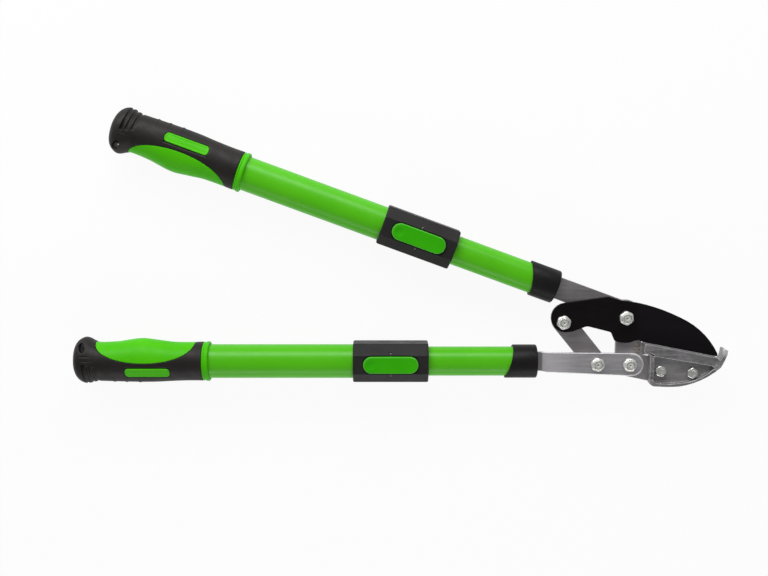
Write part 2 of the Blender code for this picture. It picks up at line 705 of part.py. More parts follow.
def anvil_bolt(name, where):
    """A bolt of the anvil, head in the recess at the front, and its nut at the back."""
    nut_high = BACK_Z[0] - GAP
    nut_low = nut_high - ANVIL_NUT_HEIGHT
    bolt = bolt_mesh(f"{name}_bolt", ANVIL_BOLT_AF, ANVIL_BOLT_HEAD, ANVIL_BOLT_D,
                     -FRONT_Z[1] - GAP, -nut_low + GAP, PIN_SIDES)
    bolt.transform(Matrix.Rotation(math.pi, 4, "X"))
    put(f"{name}_bolt", shift(bolt, *where), lopper, ZINC)
    flats = hexagon(ANVIL_BOLT_AF, PIN_SIDES)
    bore = disc(ANVIL_BOLT_D / 2 + GAP, PIN_SIDES)
    nut = loft(f"{name}_nut", [upright(flats, nut_low), upright(flats, nut_high),
                               upright(bore, nut_high), upright(bore, nut_low)], closed=True)
    put(f"{name}_nut", shift(nut, *where), lopper, ZINC)


def ferrule(name, parent, inner_side, tang_width, tang_thickness):
    r = FERRULE_D / 2
    bore = INNER_R + GAP
    slant = FERRULE_LONG - FERRULE_SHORT

    def ring(radius, x):
        return crosswise(disc(radius, TUBE_SIDES), x)

    def mouth(radius):
        """The oblique rear end: longest away from the other handle."""
        points = []
        for y, z in disc(radius, TUBE_SIDES):
            away = max(0, (1 - inner_side * y / radius) / 2)
            points.append((FERRULE_SHORT + slant * away ** MOUTH_CURVE, y, z))
        return points

    mesh = loft(name, [ring(r - FERRULE_EDGE, 0), ring(r, FERRULE_EDGE), mouth(r), mouth(bore),
                       ring(bore, FERRULE_FACE)])
    body = put(name, mesh, parent, BLACK_PLASTIC)
    start, end = through(0, FERRULE_FACE)
    wide = tang_width / 2 + GAP
    half = tang_thickness / 2 + GAP
    slot = [(start, -wide), (end, -wide), (end, wide), (start, wide)]
    cut(body, prism(f"{name}_slot", slot, -half, half), parent)


def bar_insert(name, parent, tang_width, tang_thickness):
    start = FERRULE_FACE + GAP
    end = start + INSERT_LENGTH
    radius = INNER_BORE - GAP
    half = (tang_width / 2 + GAP, tang_thickness / 2 + GAP)
    edge = TUBE_SIDES // 4
    slot = []
    for corner, (side_y, side_z) in enumerate(((1, 1), (-1, 1), (-1, -1), (1, -1))):
        start_y, start_z = half[0] * side_y, half[1] * side_z
        if corner % 2 == 0:
            step_y, step_z = -side_y * 2 * half[0] / edge, 0
        else:
            step_y, step_z = 0, -side_z * 2 * half[1] / edge
        slot += [(start_y + step_y * k, start_z + step_z * k) for k in range(edge)]
    outer = disc(radius, TUBE_SIDES, math.atan2(half[1], half[0]))
    body = put(name, loft(name, [crosswise(outer, start), crosswise(outer, end),
                                 crosswise(slot, end), crosswise(slot, start)], closed=True),
               parent, INNER_PLASTIC)
    drill(body, [(x, 0) for x in RIVET_PLACES], RIVET_D + 2 * GAP, *through(-radius, radius),
          parent, sides=PIN_SIDES)


def tang_rivets(name, parent):
    reach = INNER_R - GAP
    for word, x in zip(("front", "rear"), RIVET_PLACES):
        mesh = rod(f"{name}_{word}", ((RIVET_D / 2, -reach), (RIVET_D / 2, reach)), PIN_SIDES)
        put(f"{name}_{word}", shift(mesh, x), parent, BRIGHT_STEEL)


def inner_tube(name, parent):
    body = put(name, tube(name, INNER_R, INNER_BORE, INNER_TUBE_START, INNER_TUBE_END), parent,
               GREEN_PAINT)
    drill(body, [(x, 0) for x in RIVET_PLACES], RIVET_D + 2 * GAP, *through(-INNER_R, INNER_R),
          parent, sides=PIN_SIDES)
    first = BUTTON_CENTRE - LOCK_PIN_OFFSET
    holes = [(first + LOCK_STEP * k, 0) for k in range(round(SLIDE_TRAVEL / LOCK_STEP) + 1)]
    drill(body, holes, LOCK_PIN_D + 2 * LOCK_HOLE_ROOM, *through(INNER_BORE / 2, INNER_R), parent,
          sides=PIN_SIDES)


def tail_bush(name, parent):
    """Plug on the rear end of the inner tube, which slides in the outer tube."""
    bore = INNER_BORE - BUSH_WALL
    sections = (
        (INNER_BORE - GAP, INNER_TUBE_END - BUSH_SPIGOT),
        (INNER_BORE - GAP, INNER_TUBE_END + GAP),
        (OUTER_BORE - GAP, INNER_TUBE_END + GAP),
        (OUTER_BORE - GAP, INNER_TUBE_END + BUSH_FLANGE),
        (bore, INNER_TUBE_END + BUSH_FLANGE),
        (bore, INNER_TUBE_END - BUSH_SPIGOT),
    )
    rings = [crosswise(disc(r, TUBE_SIDES), x) for r, x in sections]
    put(name, loft(name, rings, closed=True), parent, INNER_PLASTIC)


def outer_tube(name, parent):
    body = put(name, tube(name, OUTER_R, OUTER_BORE, OUTER_TUBE_START, OUTER_TUBE_END), parent,
               GREEN_PAINT)
    half = BUTTON_WIDTH / 2 + BUTTON_MARGIN + GAP
    start = OUTER_TUBE_START - CUTTER_OVERRUN
    end = BUTTON_CENTRE + TUBE_SLOT_END
    slot = [(start, -half), (end, -half), (end, half), (start, half)]
    cut(body, prism(f"{name}_slot", slot, OUTER_R / 3, OUTER_R + CUTTER_OVERRUN), parent)
    drill(body, ((HOUSING_END - SCREW_INSET, 0),), SCREW_D + 2 * GAP,
          *through(-OUTER_R, -OUTER_BORE / 2), parent, sides=PIN_SIDES)


def lock_housing(name, parent):
    wide, deep = HOUSING_WIDTH / 2, HOUSING_FACE
    chamfer = wide - HOUSING_FLAT / 2

    def ring(x, inset):
        w, d, c = wide - inset, deep - inset, chamfer - inset * 0.6
        return crosswise([(w, d - c), (w - c, d), (c - w, d), (-w, d - c), (-w, c - d),
                          (c - w, -d), (w - c, -d), (w, c - d)], x)

    body = put(name, loft(name, [ring(HOUSING_START, HOUSING_EDGE),
                                 ring(HOUSING_START + HOUSING_EDGE, 0),
                                 ring(HOUSING_END - HOUSING_EDGE, 0),
                                 ring(HOUSING_END, HOUSING_EDGE)]), parent, BLACK_PLASTIC)
    start, end = through(HOUSING_START, HOUSING_END)
    step = HOUSING_START + HOUSING_GUIDE
    stages = ((INNER_R + GUIDE_GAP, start), (INNER_R + GUIDE_GAP, step),
              (OUTER_R + GAP, step), (OUTER_R + GAP, end))
    bore = loft(f"{name}_bore", [crosswise(disc(r, TUBE_SIDES), x) for r, x in stages])
    cut(body, bore, parent)
    margin = 2 * BUTTON_MARGIN
    window = prism(f"{name}_window", stadium(BUTTON_LENGTH + margin, BUTTON_WIDTH + margin),
                   INNER_R / 2, deep + CUTTER_OVERRUN)
    cut(body, shift(window, BUTTON_CENTRE), parent)
    cut(body, shift(cross_hole(f"{name}_pin_hole", wide), BUTTON_CENTRE, 0, ROCKER_Z), parent)
    sink = rod(f"{name}_screw_hole", screw_sections(GAP), PIN_SIDES)
    cut(body, shift(sink, HOUSING_END - SCREW_INSET), parent)


def cross_hole(name, half):
    """The rocker pin's hole, from y = -half to y = half."""
    r = ROCKER_PIN_D / 2 + GAP
    return lie(rod(name, ((r, -half), (r, half)), PIN_SIDES))


def screw_sections(room):
    """Radius and z of the housing's countersunk screw, or with room round it, of its hole."""
    face = -HOUSING_FACE
    head, shank = SCREW_HEAD_D / 2 + room, SCREW_D / 2 + room
    sunk = face + SCREW_SUNK
    rim = sunk + SCREW_RIM
    cone = rim + (SCREW_HEAD_D - SCREW_D) / 2
    tip = -INNER_R - 2 * GAP
    if room:
        return ((head, face - CUTTER_OVERRUN), (head, rim), (shank, cone),
                (shank, tip + CUTTER_OVERRUN))
    return ((head, sunk), (head, rim), (shank, cone), (shank, tip))


def lock_button(name, parent):
    """The rocker, drawn round its pin: x back towards the grip, z up from the pin."""
    floor = INNER_R + BUTTON_ROOM - ROCKER_Z
    layers = [(0, floor), *((inset, BUTTON_TOP - depth) for inset, depth in BUTTON_EDGE)]
    rings = [upright(stadium(BUTTON_LENGTH - 2 * inset, BUTTON_WIDTH - 2 * inset), z)
             for inset, z in layers]
    body = put(name, loft(name, rings), parent, GREEN_PLASTIC)
    boss = ROCKER_PIN_D / 2 + BUTTON_BOSS_WALL
    head_end, grip_end = through(-BUTTON_LENGTH / 2, BUTTON_LENGTH / 2)
    bottom = 3 * floor
    rest = OUTER_R + 2 * GAP - ROCKER_Z
    fall = math.tan(BUTTON_TRAVEL)
    under = [
        (head_end, -ROCKER_PIN_D / 2),
        (-boss, -ROCKER_PIN_D / 2),
        (-boss, floor - CUTTER_OVERRUN),
        (boss, floor - CUTTER_OVERRUN),
        (boss, rest + fall * boss),
        (grip_end, rest + fall * grip_end),
        (grip_end, bottom),
        (head_end, bottom),
    ]
    cut(body, side_prism(f"{name}_underside", under, BUTTON_WIDTH), parent)
    cut(body, cross_hole(f"{name}_pin_hole", BUTTON_WIDTH), parent)
    drill(body, ((-LOCK_PIN_OFFSET, 0),), LOCK_PIN_D + 2 * GAP, bottom, LOCK_PIN_TOP + GAP, parent)
    drill(body, ((SPRING_OFFSET, 0),), SPRING_D + 4 * GAP, bottom, SPRING_TOP + GAP, parent)
    dimple = bmesh.new()
    bmesh.ops.create_uvsphere(dimple, u_segments=16, v_segments=10, radius=DIMPLE_R)
    hollow = to_mesh(f"{name}_dimple", dimple)
    cut(body, shift(hollow, DIMPLE_OFFSET, 0, BUTTON_TOP + DIMPLE_R - DIMPLE_DEPTH), parent)


def lock_pin(name, parent):
    nose = INNER_R + 1.5 * GAP - ROCKER_Z
    r = LOCK_PIN_D / 2
    edge = 2 * GAP
    mesh = rod(name, ((r - edge, nose), (r, nose + edge), (r, LOCK_PIN_TOP)), BOLT_SIDES)
    put(name, shift(mesh, -LOCK_PIN_OFFSET), parent, BRIGHT_STEEL)


def lock_spring(name, parent):
    """A helical spring that stands on the outer tube under the grip's end of the button."""
    wire = SPRING_WIRE_D / 2
    radius = SPRING_D / 2 - wire
    low = OUTER_R + GAP + wire
    high = ROCKER_Z + SPRING_TOP - wire
    points_a_turn = 10
    count = round(SPRING_TURNS * points_a_turn)
    path = bpy.data.curves.new(name, "CURVE")
    path.dimensions = "3D"
    path.bevel_depth = wire
    path.bevel_resolution = 1
    path.use_fill_caps = True
    line = path.splines.new("POLY")
    line.points.add(count)
    for i in range(count + 1):
        turn = 2 * math.pi * i / points_a_turn
        z = low + (high - low) * i / count
        line.points[i].co = (BUTTON_CENTRE + SPRING_OFFSET + radius * math.cos(turn),
                             radius * math.sin(turn), z, 1)
    pitch = (high - low) / SPRING_TURNS
    print(f"{name}: {pitch - SPRING_WIRE_D:.5f} m between its turns")
    spring = bpy.data.objects.new(name, path)
    bpy.context.scene.collection.objects.link(spring)
    spring.parent = parent
    path.materials.append(FINISHES[BRIGHT_STEEL[0]])


def rocker_pin(name, parent):
    half = ROCKER_PIN_LENGTH / 2
    mesh = rod(name, ((ROCKER_PIN_D / 2, -half), (ROCKER_PIN_D / 2, half)), PIN_SIDES)
    put(name, shift(lie(mesh), BUTTON_CENTRE, 0, ROCKER_Z), parent, ZINC)


def housing_screw(name, parent):
    mesh = rod(name, screw_sections(0), PIN_SIDES)
    put(name, shift(mesh, HOUSING_END - SCREW_INSET), parent, ZINC)


def grip_ring(inner, outer, depth, side, back):
    """A cross-section of the grip, back metres from the butt's end."""
    points = []
    for across, up in disc(1, GRIP_SIDES):
        points.append((GRIP_END - back, side * across * (inner if across > 0 else outer),
                       up * depth))
    return points


def grip_body(name, side):
    """The grip's whole outer shape, from the ring to the butt."""
    rings = [grip_ring(*station[1:], side, station[0]) for station in GRIP_STATIONS]
    neck = GRIP_STATIONS[-1]
    rings.append(grip_ring(*neck[1:], side, GRIP_LENGTH - RING_LENGTH - GAP))
    return loft(name, rings)


def panel_outline(side, inset):
    """The palm panel's outline, seen from the front, smaller by inset all round: a quarter of
    an ellipse on each side of its deepest point."""
    (rear, rear_v), (low, low_v), (front, front_v) = PANEL_REAR, PANEL_LOW, PANEL_FRONT
    rear += inset
    low_v += inset
    front -= inset
    steps = 7
    curve = []
    for k in range(-steps, steps + 1):
        turn = math.pi / 2 * k / steps
        length, rise = (low - rear, rear_v - low_v) if k < 0 else (front - low, front_v - low_v)
        curve.append((low + length * math.sin(turn), low_v + rise * (1 - math.cos(turn))))
    curve += [(front, GRIP_REACH), (rear, GRIP_REACH)]
    return [(GRIP_END - back, side * across) for back, across in curve]


def pad_outline(side, inset):
    half_length, half_width = PAD_LENGTH / 2 - inset, PAD_WIDTH / 2 - inset
    corners = rounded([(sx * half_length, sy * half_width, PAD_CORNER - inset)
                       for sx, sy in ((1, 1), (-1, 1), (-1, -1), (1, -1))], steps=4)
    return [(GRIP_END - PAD_CENTRE[0] + x, side * (PAD_CENTRE[1] + y)) for x, y in corners]


def grip_core(name, parent, side):
    """Hard plastic inside the grip: a cup over the tube's end, with the ring, the palm panel
    and the pads that show."""
    start = GRIP_START
    end = GRIP_START + RING_LENGTH
    half = RING_D / 2
    stages = ((CORE_BORE, CORE_END - TUBE_WALL), (CORE_BORE, start),
              (half - RING_EDGE, start), (half, start + RING_EDGE),
              (half, end - RING_EDGE), (half - RING_EDGE, end),
              (CORE_R, end), (CORE_R, CORE_END))
    mesh = loft(name, [crosswise(disc(r, GRIP_SIDES), x) for r, x in stages])
    body = put(name, mesh, parent, GREEN_PLASTIC)
    for word, outline in (("panel", panel_outline(side, GAP)), ("pad", pad_outline(side, GAP))):
        part = f"{name}_{word}"
        region = put(part, prism(part, outline, -GRIP_REACH, GRIP_REACH), parent)
        cut(region, grip_body(f"{part}_skin", side), parent, operation="INTERSECT")
        cut(region, tube_cutter(f"{part}_inside", CORE_R - CORE_WALL / 2, start, GRIP_END), parent)
        boolean(body, region, "UNION")


def tube_cutter(name, radius, start, end):
    return loft(name, [crosswise(disc(radius, GRIP_SIDES), start),
                       crosswise(disc(radius, GRIP_SIDES), end)])


def grip_sleeve(name, parent, side):
    """Soft outer layer of the grip, with windows for the core's panel and pads."""
    body = put(name, grip_body(name, side), parent, BLACK_RUBBER)
    cavity = tube_cutter(f"{name}_cavity", CORE_R + GAP, GRIP_START, CORE_END + GAP)
    cut(body, cavity, parent)
    cut(body, prism(f"{name}_panel", panel_outline(side, 0), -GRIP_REACH, GRIP_REACH), parent)
    cut(body, prism(f"{name}_pad", pad_outline(side, 0), -GRIP_REACH, GRIP_REACH), parent)
    drill(body, ((GRIP_END - HANG_HOLE_INSET, side * HANG_HOLE_OFFSET),), HANG_HOLE_D,
          -GRIP_REACH, GRIP_REACH, parent, sides=PIN_SIDES)


def handle(word, side, fixed, tang_width, tang_thickness):
    """One handle. side is +1 where the other handle lies towards +y, and -1 where it lies
    towards -y. The inner tube and its fittings stay with the bar, the rest slides on it."""
    ferrule(f"{word}_ferrule", fixed, side, tang_width, tang_thickness)
    bar_insert(f"{word}_bar_insert", fixed, tang_width, tang_thickness)
    tang_rivets(f"{word}_tang_rivet", fixed)
    inner_tube(f"{word}_inner_tube", fixed)
    tail_bush(f"{word}_tail_bush", fixed)
    sleeve = empty(f"{word}_sleeve_slide", fixed, HEAD)
    outer_tube(f"{word}_outer_tube", sleeve)
    lock_housing(f"{word}_lock_housing", sleeve)
    rocker_pin(f"{word}_rocker_pin", sleeve)
    lock_spring(f"{word}_lock_spring", sleeve)
    housing_screw(f"{word}_housing_screw", sleeve)
    grip_core(f"{word}_grip_core", sleeve, side)
    grip_sleeve(f"{word}_grip_sleeve", sleeve, side)
    rocker = empty(f"{word}_rocker", sleeve, Matrix.Translation((BUTTON_CENTRE, 0, ROCKER_Z)))
    lock_button(f"{word}_lock_button", rocker)
    lock_pin(f"{word}_lock_pin", rocker)


def stand():
    """Moves the whole lopper so that its box stands on z = 0, centred on the origin."""
    bpy.context.view_layer.update()
    view = bpy.context.evaluated_depsgraph_get()
    corners = []
    for thing in bpy.context.scene.objects:
        if thing.type == "EMPTY" or thing.hide_render:
            continue
        mesh = thing.evaluated_get(view).to_mesh()
        corners += [thing.matrix_world @ vertex.co for vertex in mesh.vertices]
        thing.evaluated_get(view).to_mesh_clear()
    low = [min(corner[i] for corner in corners) for i in range(3)]
    high = [max(corner[i] for corner in corners) for i in range(3)]
    lopper.location = (-(low[0] + high[0]) / 2, -(low[1] + high[1]) / 2, -low[2])
    bpy.context.view_layer.update()
    print("size", [round(b - a, 5) for a, b in zip(low, high)])
    for thing in bpy.context.scene.objects:
        if thing.type == "EMPTY":
            spot = [round(value, 5) for value in thing.matrix_world.translation]
            print(thing.name, spot)


jaw_plate()
blade()
anvil()
link()
lower_bar()
pivot_bolt("blade_pivot", (0, 0), lopper)
pivot_bolt("bar_pivot", BAR_PIVOT, lopper)
pivot_bolt("link_blade", LINK_BLADE_PIVOT, blade_pivot)
pivot_bolt("link_bar", LINK_BAR_PIVOT, bar_pivot, BAR_FRAME)
anvil_bolt("anvil_rear", ANVIL_BOLT_PLACES[0])
anvil_bolt("anvil_front", ANVIL_BOLT_PLACES[1])
handle("upper", 1, upper_handle, BAR_WIDTH, BACK_PLATE)
handle("lower", -1, lower_handle, LOWER_BAR_TANG, FRONT_PLATE)
stand()
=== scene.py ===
import json
import math

import bmesh
import bpy
from mathutils import Matrix, Vector


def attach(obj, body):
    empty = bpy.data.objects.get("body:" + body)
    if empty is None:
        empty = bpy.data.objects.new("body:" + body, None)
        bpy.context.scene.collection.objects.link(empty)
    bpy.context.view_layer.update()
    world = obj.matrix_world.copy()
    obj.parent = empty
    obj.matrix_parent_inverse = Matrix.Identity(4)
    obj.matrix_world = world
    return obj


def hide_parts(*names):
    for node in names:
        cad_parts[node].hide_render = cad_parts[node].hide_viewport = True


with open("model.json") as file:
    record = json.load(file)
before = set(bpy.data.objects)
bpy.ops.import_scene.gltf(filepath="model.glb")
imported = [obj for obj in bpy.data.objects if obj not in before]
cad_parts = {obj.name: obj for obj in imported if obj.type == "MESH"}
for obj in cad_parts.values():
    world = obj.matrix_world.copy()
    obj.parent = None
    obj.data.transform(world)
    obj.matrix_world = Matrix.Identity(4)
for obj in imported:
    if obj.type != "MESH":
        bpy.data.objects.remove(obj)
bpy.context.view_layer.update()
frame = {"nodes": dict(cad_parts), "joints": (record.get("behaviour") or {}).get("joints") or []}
joints = {joint["name"]: joint for joint in frame["joints"]}
# the head is drawn from the blade's pivot, and the lower bar's round end from its own
headX, headY = joints["blade_swing"]["pos_m"][:2]
pivotX, pivotY = joints["handle_swing"]["pos_m"][:2]
print("frame loaded:", len(frame["nodes"]), "nodes")


# camera
cameraLook = {
    "place": (-0.01503, 0.10805, 1.07629),
    "lean": -8,
    "lens": 50,
}
bpy.ops.object.camera_add(location=cameraLook["place"],
                          rotation=(math.radians(cameraLook["lean"]), 0, 0))
camera = bpy.context.object
camera.name = "camera"
camera.data.lens = cameraLook["lens"]
camera.data.clip_start = 0.02
camera.data.clip_end = 60
bpy.context.scene.camera = camera
bpy.context.scene.view_settings.view_transform = "Standard"


# lamps: a long soft box beyond the far side, a weak one on the near side, and a pale room
lampSet = (
    {"name": "farBox", "place": (-0.35, 1.3, 0.78), "size": (2.4, 0.5), "watts": 31},
    {"name": "nearBox", "place": (0.1, -1.4, 0.5), "size": (2.2, 0.42), "watts": 10.6},
)
roomLook = {"strength": 0.3, "seen": 1.0}
for lampLook in lampSet:
    bpy.ops.object.light_add(type="AREA", location=lampLook["place"])
    lamp = bpy.context.object
    lamp.name = lampLook["name"]
    lamp.data.shape = "RECTANGLE"
    lamp.data.size, lamp.data.size_y = lampLook["size"]
    lamp.data.energy = lampLook["watts"]
    lamp.rotation_euler = (-Vector(lampLook["place"])).to_track_quat("-Z", "Y").to_euler()


def addNode(owner, kind, values=None, links=None):  # both by the names or numbers of its sockets
    tree = owner.node_tree
    node = tree.nodes.new("ShaderNode" + kind)
    for socket, value in (values or {}).items():
        node.inputs[socket].default_value = value
    for socket, source in (links or {}).items():
        tree.links.new(source, node.inputs[socket])
    return node


def makeRoom():
    room = bpy.data.worlds.new("paleRoom")
    bpy.context.scene.world = room
    room.use_nodes = True
    nodes = room.node_tree.nodes
    dim = nodes["Background"]
    dim.inputs["Color"].default_value = (1, 1, 1, 1)
    dim.inputs["Strength"].default_value = roomLook["strength"]
    bright = addNode(room, "Background", {"Strength": roomLook["seen"]})
    ray = addNode(room, "LightPath")
    mix = addNode(room, "MixShader", None, {0: ray.outputs["Is Camera Ray"], 1: dim.outputs[0],
                                            2: bright.outputs[0]})
    room.node_tree.links.new(mix.outputs[0], nodes["World Output"].inputs["Surface"])


makeRoom()


# materials
def newFinish(name, colour, roughness, metallic=0.0, specular=0.5):
    finish = bpy.data.materials.new(name)
    finish.use_nodes = True
    shader = finish.node_tree.nodes["Principled BSDF"]
    shader.inputs["Base Color"].default_value = (*colour, 1)
    shader.inputs["Roughness"].default_value = roughness
    shader.inputs["Metallic"].default_value = metallic
    shader.inputs["Specular IOR Level"].default_value = specular
    finish.diffuse_color = (*colour, 1)
    return finish


def seen(red, green, blue):  # a colour as it looks on screen, as the shader's value
    shades = []
    for value in (red, green, blue):
        share = value / 255
        shades.append(share / 12.92 if share < 0.04045 else ((share + 0.055) / 1.055) ** 2.4)
    return tuple(shades)


def addNoise(finish, scale, detail=4.0, rough=0.55, stretch=(1, 1, 1), turn=0.0):
    place = addNode(finish, "TexCoord")
    fit = addNode(finish, "Mapping", {"Rotation": (0, 0, turn), "Scale": stretch},
                  {"Vector": place.outputs["Object"]})
    noise = addNode(finish, "TexNoise", {"Scale": scale, "Detail": detail, "Roughness": rough},
                    {"Vector": fit.outputs["Vector"]})
    return noise.outputs["Fac"]


def addRange(finish, value, low, high, start=0.3, end=0.7):  # maps a noise to other limits
    limits = {"From Min": start, "From Max": end, "To Min": low, "To Max": high}
    return addNode(finish, "MapRange", limits, {"Value": value}).outputs["Result"]


def addBlend(finish, share, under, over):  # over shows where share is 1
    mix = addNode(finish, "Mix", None, {0: share})
    mix.data_type = "RGBA"
    for socket, colour in ((mix.inputs[6], under), (mix.inputs[7], over)):
        if isinstance(colour, tuple):
            socket.default_value = (*colour, 1)
        else:
            finish.node_tree.links.new(colour, socket)
    return mix.outputs[2]


def mottle(finish, noise, under, over, start=0.3, end=0.7):  # clouds of one colour on another
    share = addRange(finish, addNoise(finish, *noise), 0, 1, start, end)
    return addBlend(finish, share, seen(*under), seen(*over))


def combine(finish, one, other, operation="MULTIPLY"):  # one number out of two
    both = addNode(finish, "Math", None, {0: one, 1: other})
    both.operation = operation
    return both.outputs[0]


def wire(finish, value, socket):
    tree = finish.node_tree
    tree.links.new(value, tree.nodes["Principled BSDF"].inputs[socket])


def dress(finish, colour, gloss, *bumps):
    # gloss is a noise with the lowest and highest roughness; a bump is a noise, depth and strength
    wire(finish, colour, "Base Color")
    if gloss:
        noise, low, high = gloss
        noise = addNoise(finish, *noise) if isinstance(noise, tuple) else noise
        wire(finish, addRange(finish, noise, low, high), "Roughness")
    normal = None
    for noise, depth, strength in bumps:
        noise = addNoise(finish, *noise) if isinstance(noise, tuple) else noise
        links = {"Height": noise}
        if normal is not None:
            links["Normal"] = normal
        bump = addNode(finish, "Bump", {"Distance": depth, "Strength": strength}, links)
        normal = bump.outputs["Normal"]
    wire(finish, normal, "Normal")
    return finish


def addPlace(finish, axis, start, end, low, high):  # goes from low to high along an axis
    place = addNode(finish, "TexCoord")
    split = addNode(finish, "SeparateXYZ", None, {0: place.outputs["Object"]})
    return addRange(finish, split.outputs[axis], low, high, start, end)


def addNear(finish, spot, inside, outside):  # 1 near a spot, 0 away from it
    place = addNode(finish, "TexCoord")
    away = addNode(finish, "VectorMath", {1: spot}, {0: place.outputs["Object"]})
    away.operation = "DISTANCE"
    return addRange(finish, away.outputs["Value"], 1, 0, inside, outside)


def raisedEdges(finish):  # 1 on raised edges, 0 on flats and in hollows
    return addRange(finish, addNode(finish, "NewGeometry").outputs["Pointiness"], 0, 1, 0.51, 0.57)


def greenPaintFinish():
    finish = newFinish("greenPaint", seen(79, 184, 6), 0.36, 0, 0.3)
    green = mottle(finish, (14, 3), (76, 181, 4), (83, 188, 9))
    return dress(finish, green, ((60, 4), 0.32, 0.42),
                 ((420, 2), 0.00003, 0.5), ((1800, 1), 0.00001, 0.3))


def greenPlasticFinish(name, shade, specular, worn):
    finish = newFinish(name, seen(*shade), 0.42, 0, specular)
    darker = [max(value - 4, 0) for value in shade]
    green = mottle(finish, (30, 3), darker, [value + 5 for value in shade])
    # the raised rim is painted pale: a painted highlight
    if worn:
        green = addBlend(finish, raisedEdges(finish), green, seen(*worn))
    return dress(finish, green, ((90, 3), 0.38, 0.5), ((2600, 2), 0.00002, 0.35))


def blackRubberFinish():
    finish = newFinish("blackRubber", seen(25, 20, 19), 0.52, 0, 0.28)
    black = mottle(finish, (45, 5), (21, 16, 15), (32, 27, 26), 0.35, 0.8)
    return dress(finish, black, ((120, 4), 0.48, 0.62),
                 ((900, 3), 0.00005, 0.35), ((3200, 2), 0.00002, 0.4))


def blackPlasticFinish(name, shade, specular):
    finish = newFinish(name, seen(shade + 2, shade, shade + 1), 0.46, 0, specular)
    low, high = shade - 3, shade + 5
    black = mottle(finish, (35, 4), (low + 2, low, low + 1), (high + 2, high, high + 1))
    return dress(finish, black, ((150, 4), 0.4, 0.54),
                 ((300, 6, 0.7), 0.00004, 0.3), ((2400, 3), 0.00003, 0.4))


def bladeCoatFinish():
    finish = newFinish("bladeCoat", seen(12, 8, 10), 0.36, 0, 0.13)
    coat = mottle(finish, (40, 5), (10, 6, 8), (15, 11, 13))
    ground = addPlace(finish, 0, headX + 0.0112, headX + 0.0122, 0, 1)
    coat = addBlend(finish, ground, coat, seen(16, 13, 16))
    return dress(finish, coat, ((260, 5, 0.6, (0.15, 1, 1), 0.19), 0.28, 0.5),
                 ((1500, 3), 0.00002, 0.4))


def rolledSteelFinish():
    finish = newFinish("rolledSteel", seen(120, 116, 118), 0.48, 0.6)
    streak = addNoise(finish, 420, 5, 0.6, (0.06, 1, 1), 0.35)
    patch = addRange(finish, addNoise(finish, 55, 6), 0, 1)
    steel = addBlend(finish, patch, seen(122, 117, 120), seen(144, 139, 142))
    steel = addBlend(finish, addRange(finish, streak, 0, 0.5), steel, seen(162, 158, 161))
    steel = addBlend(finish, addPlace(finish, 0, headX - 0.015, headX + 0.012, 0, 0.65), steel,
                     seen(178, 173, 176))
    # rubbed and stained beside the anvil's heel
    heel = addNear(finish, (headX + 0.0170, headY - 0.0310, 0.0225), 0.005, 0.0095)
    heel = combine(finish, heel, addRange(finish, patch, 0.7, 0.9, 0, 1))
    rubbed = mottle(finish, (420, 5, 0.65), (88, 80, 72), (176, 168, 158), 0.38, 0.56)
    steel = addBlend(finish, heel, steel, rubbed)
    return dress(finish, steel, (streak, 0.4, 0.58), (streak, 0.00003, 0.5))


# the lower bar's round end, how far it is drawn out ahead of its pivot, and the painted highlight along it
barEnd = {
    "middle": (pivotX + 0.0030, pivotY - 0.0006),
    "nose": 0.0030,
    "start": 0.0005,
    "holeClear": 0.008,
    "line": (0.0097, 0.0102),
    "corners": (0.0025, 0.0065),
    "lineRear": (-0.004, -0.001),
    "face": 0.0271,
}


def groundSteelFinish():
    finish = newFinish("groundSteel", seen(160, 158, 161), 0.42, 0.6)
    streak = addNoise(finish, 700, 4, 0.6, (0.04, 1, 1))
    steel = mottle(finish, (35, 5), (148, 146, 149), (170, 168, 171))
    steel = addBlend(finish, addRange(finish, streak, 0, 0.6), steel, seen(192, 190, 193))
    # painted reflection: paler ahead of the bend; painted shade: darker between the bend and the handle
    bright = addPlace(finish, 0, headX - 0.080, headX - 0.045, 0.6, 0)
    steel = addBlend(finish, bright, steel, seen(224, 221, 224))
    # a painted highlight along the round end, brightest at its corners
    x, y = barEnd["middle"]
    near, far = barEnd["corners"]
    rear, front = barEnd["lineRear"]
    line = addRange(finish, addNear(finish, (x, y, barEnd["face"]), *barEnd["line"]), 1, 0, 0, 1)
    line = combine(finish, line, addPlace(finish, 0, x + rear, x + front, 0, 1))
    for side in (-1, 1):
        corner = addPlace(finish, 1, y + side * near, y + side * far, 0, 1)
        steel = addBlend(finish, combine(finish, corner, line), steel, seen(228, 227, 228))
    # painted shade on the slope between the bend and the handle
    paintedNeckShade = addPlace(finish, 0, headX - 0.0826, headX - 0.0816, 0.7, 0)
    steel = addBlend(finish, paintedNeckShade, steel, seen(104, 101, 104))
    return dress(finish, steel, (streak, 0.34, 0.5), (streak, 0.00003, 0.45))


def edgeSteelFinish(name, shade):  # the rounded edges of the plates, painted paler as a highlight
    finish = newFinish(name, seen(shade, shade - 2, shade), 0.34, 0.2)
    low, high = shade - 22, shade + 14
    steel = mottle(finish, (180, 5), (low, low - 2, low), (high, high - 2, high))
    return dress(finish, steel, ((400, 4), 0.26, 0.44), ((900, 4), 0.00003, 0.4))


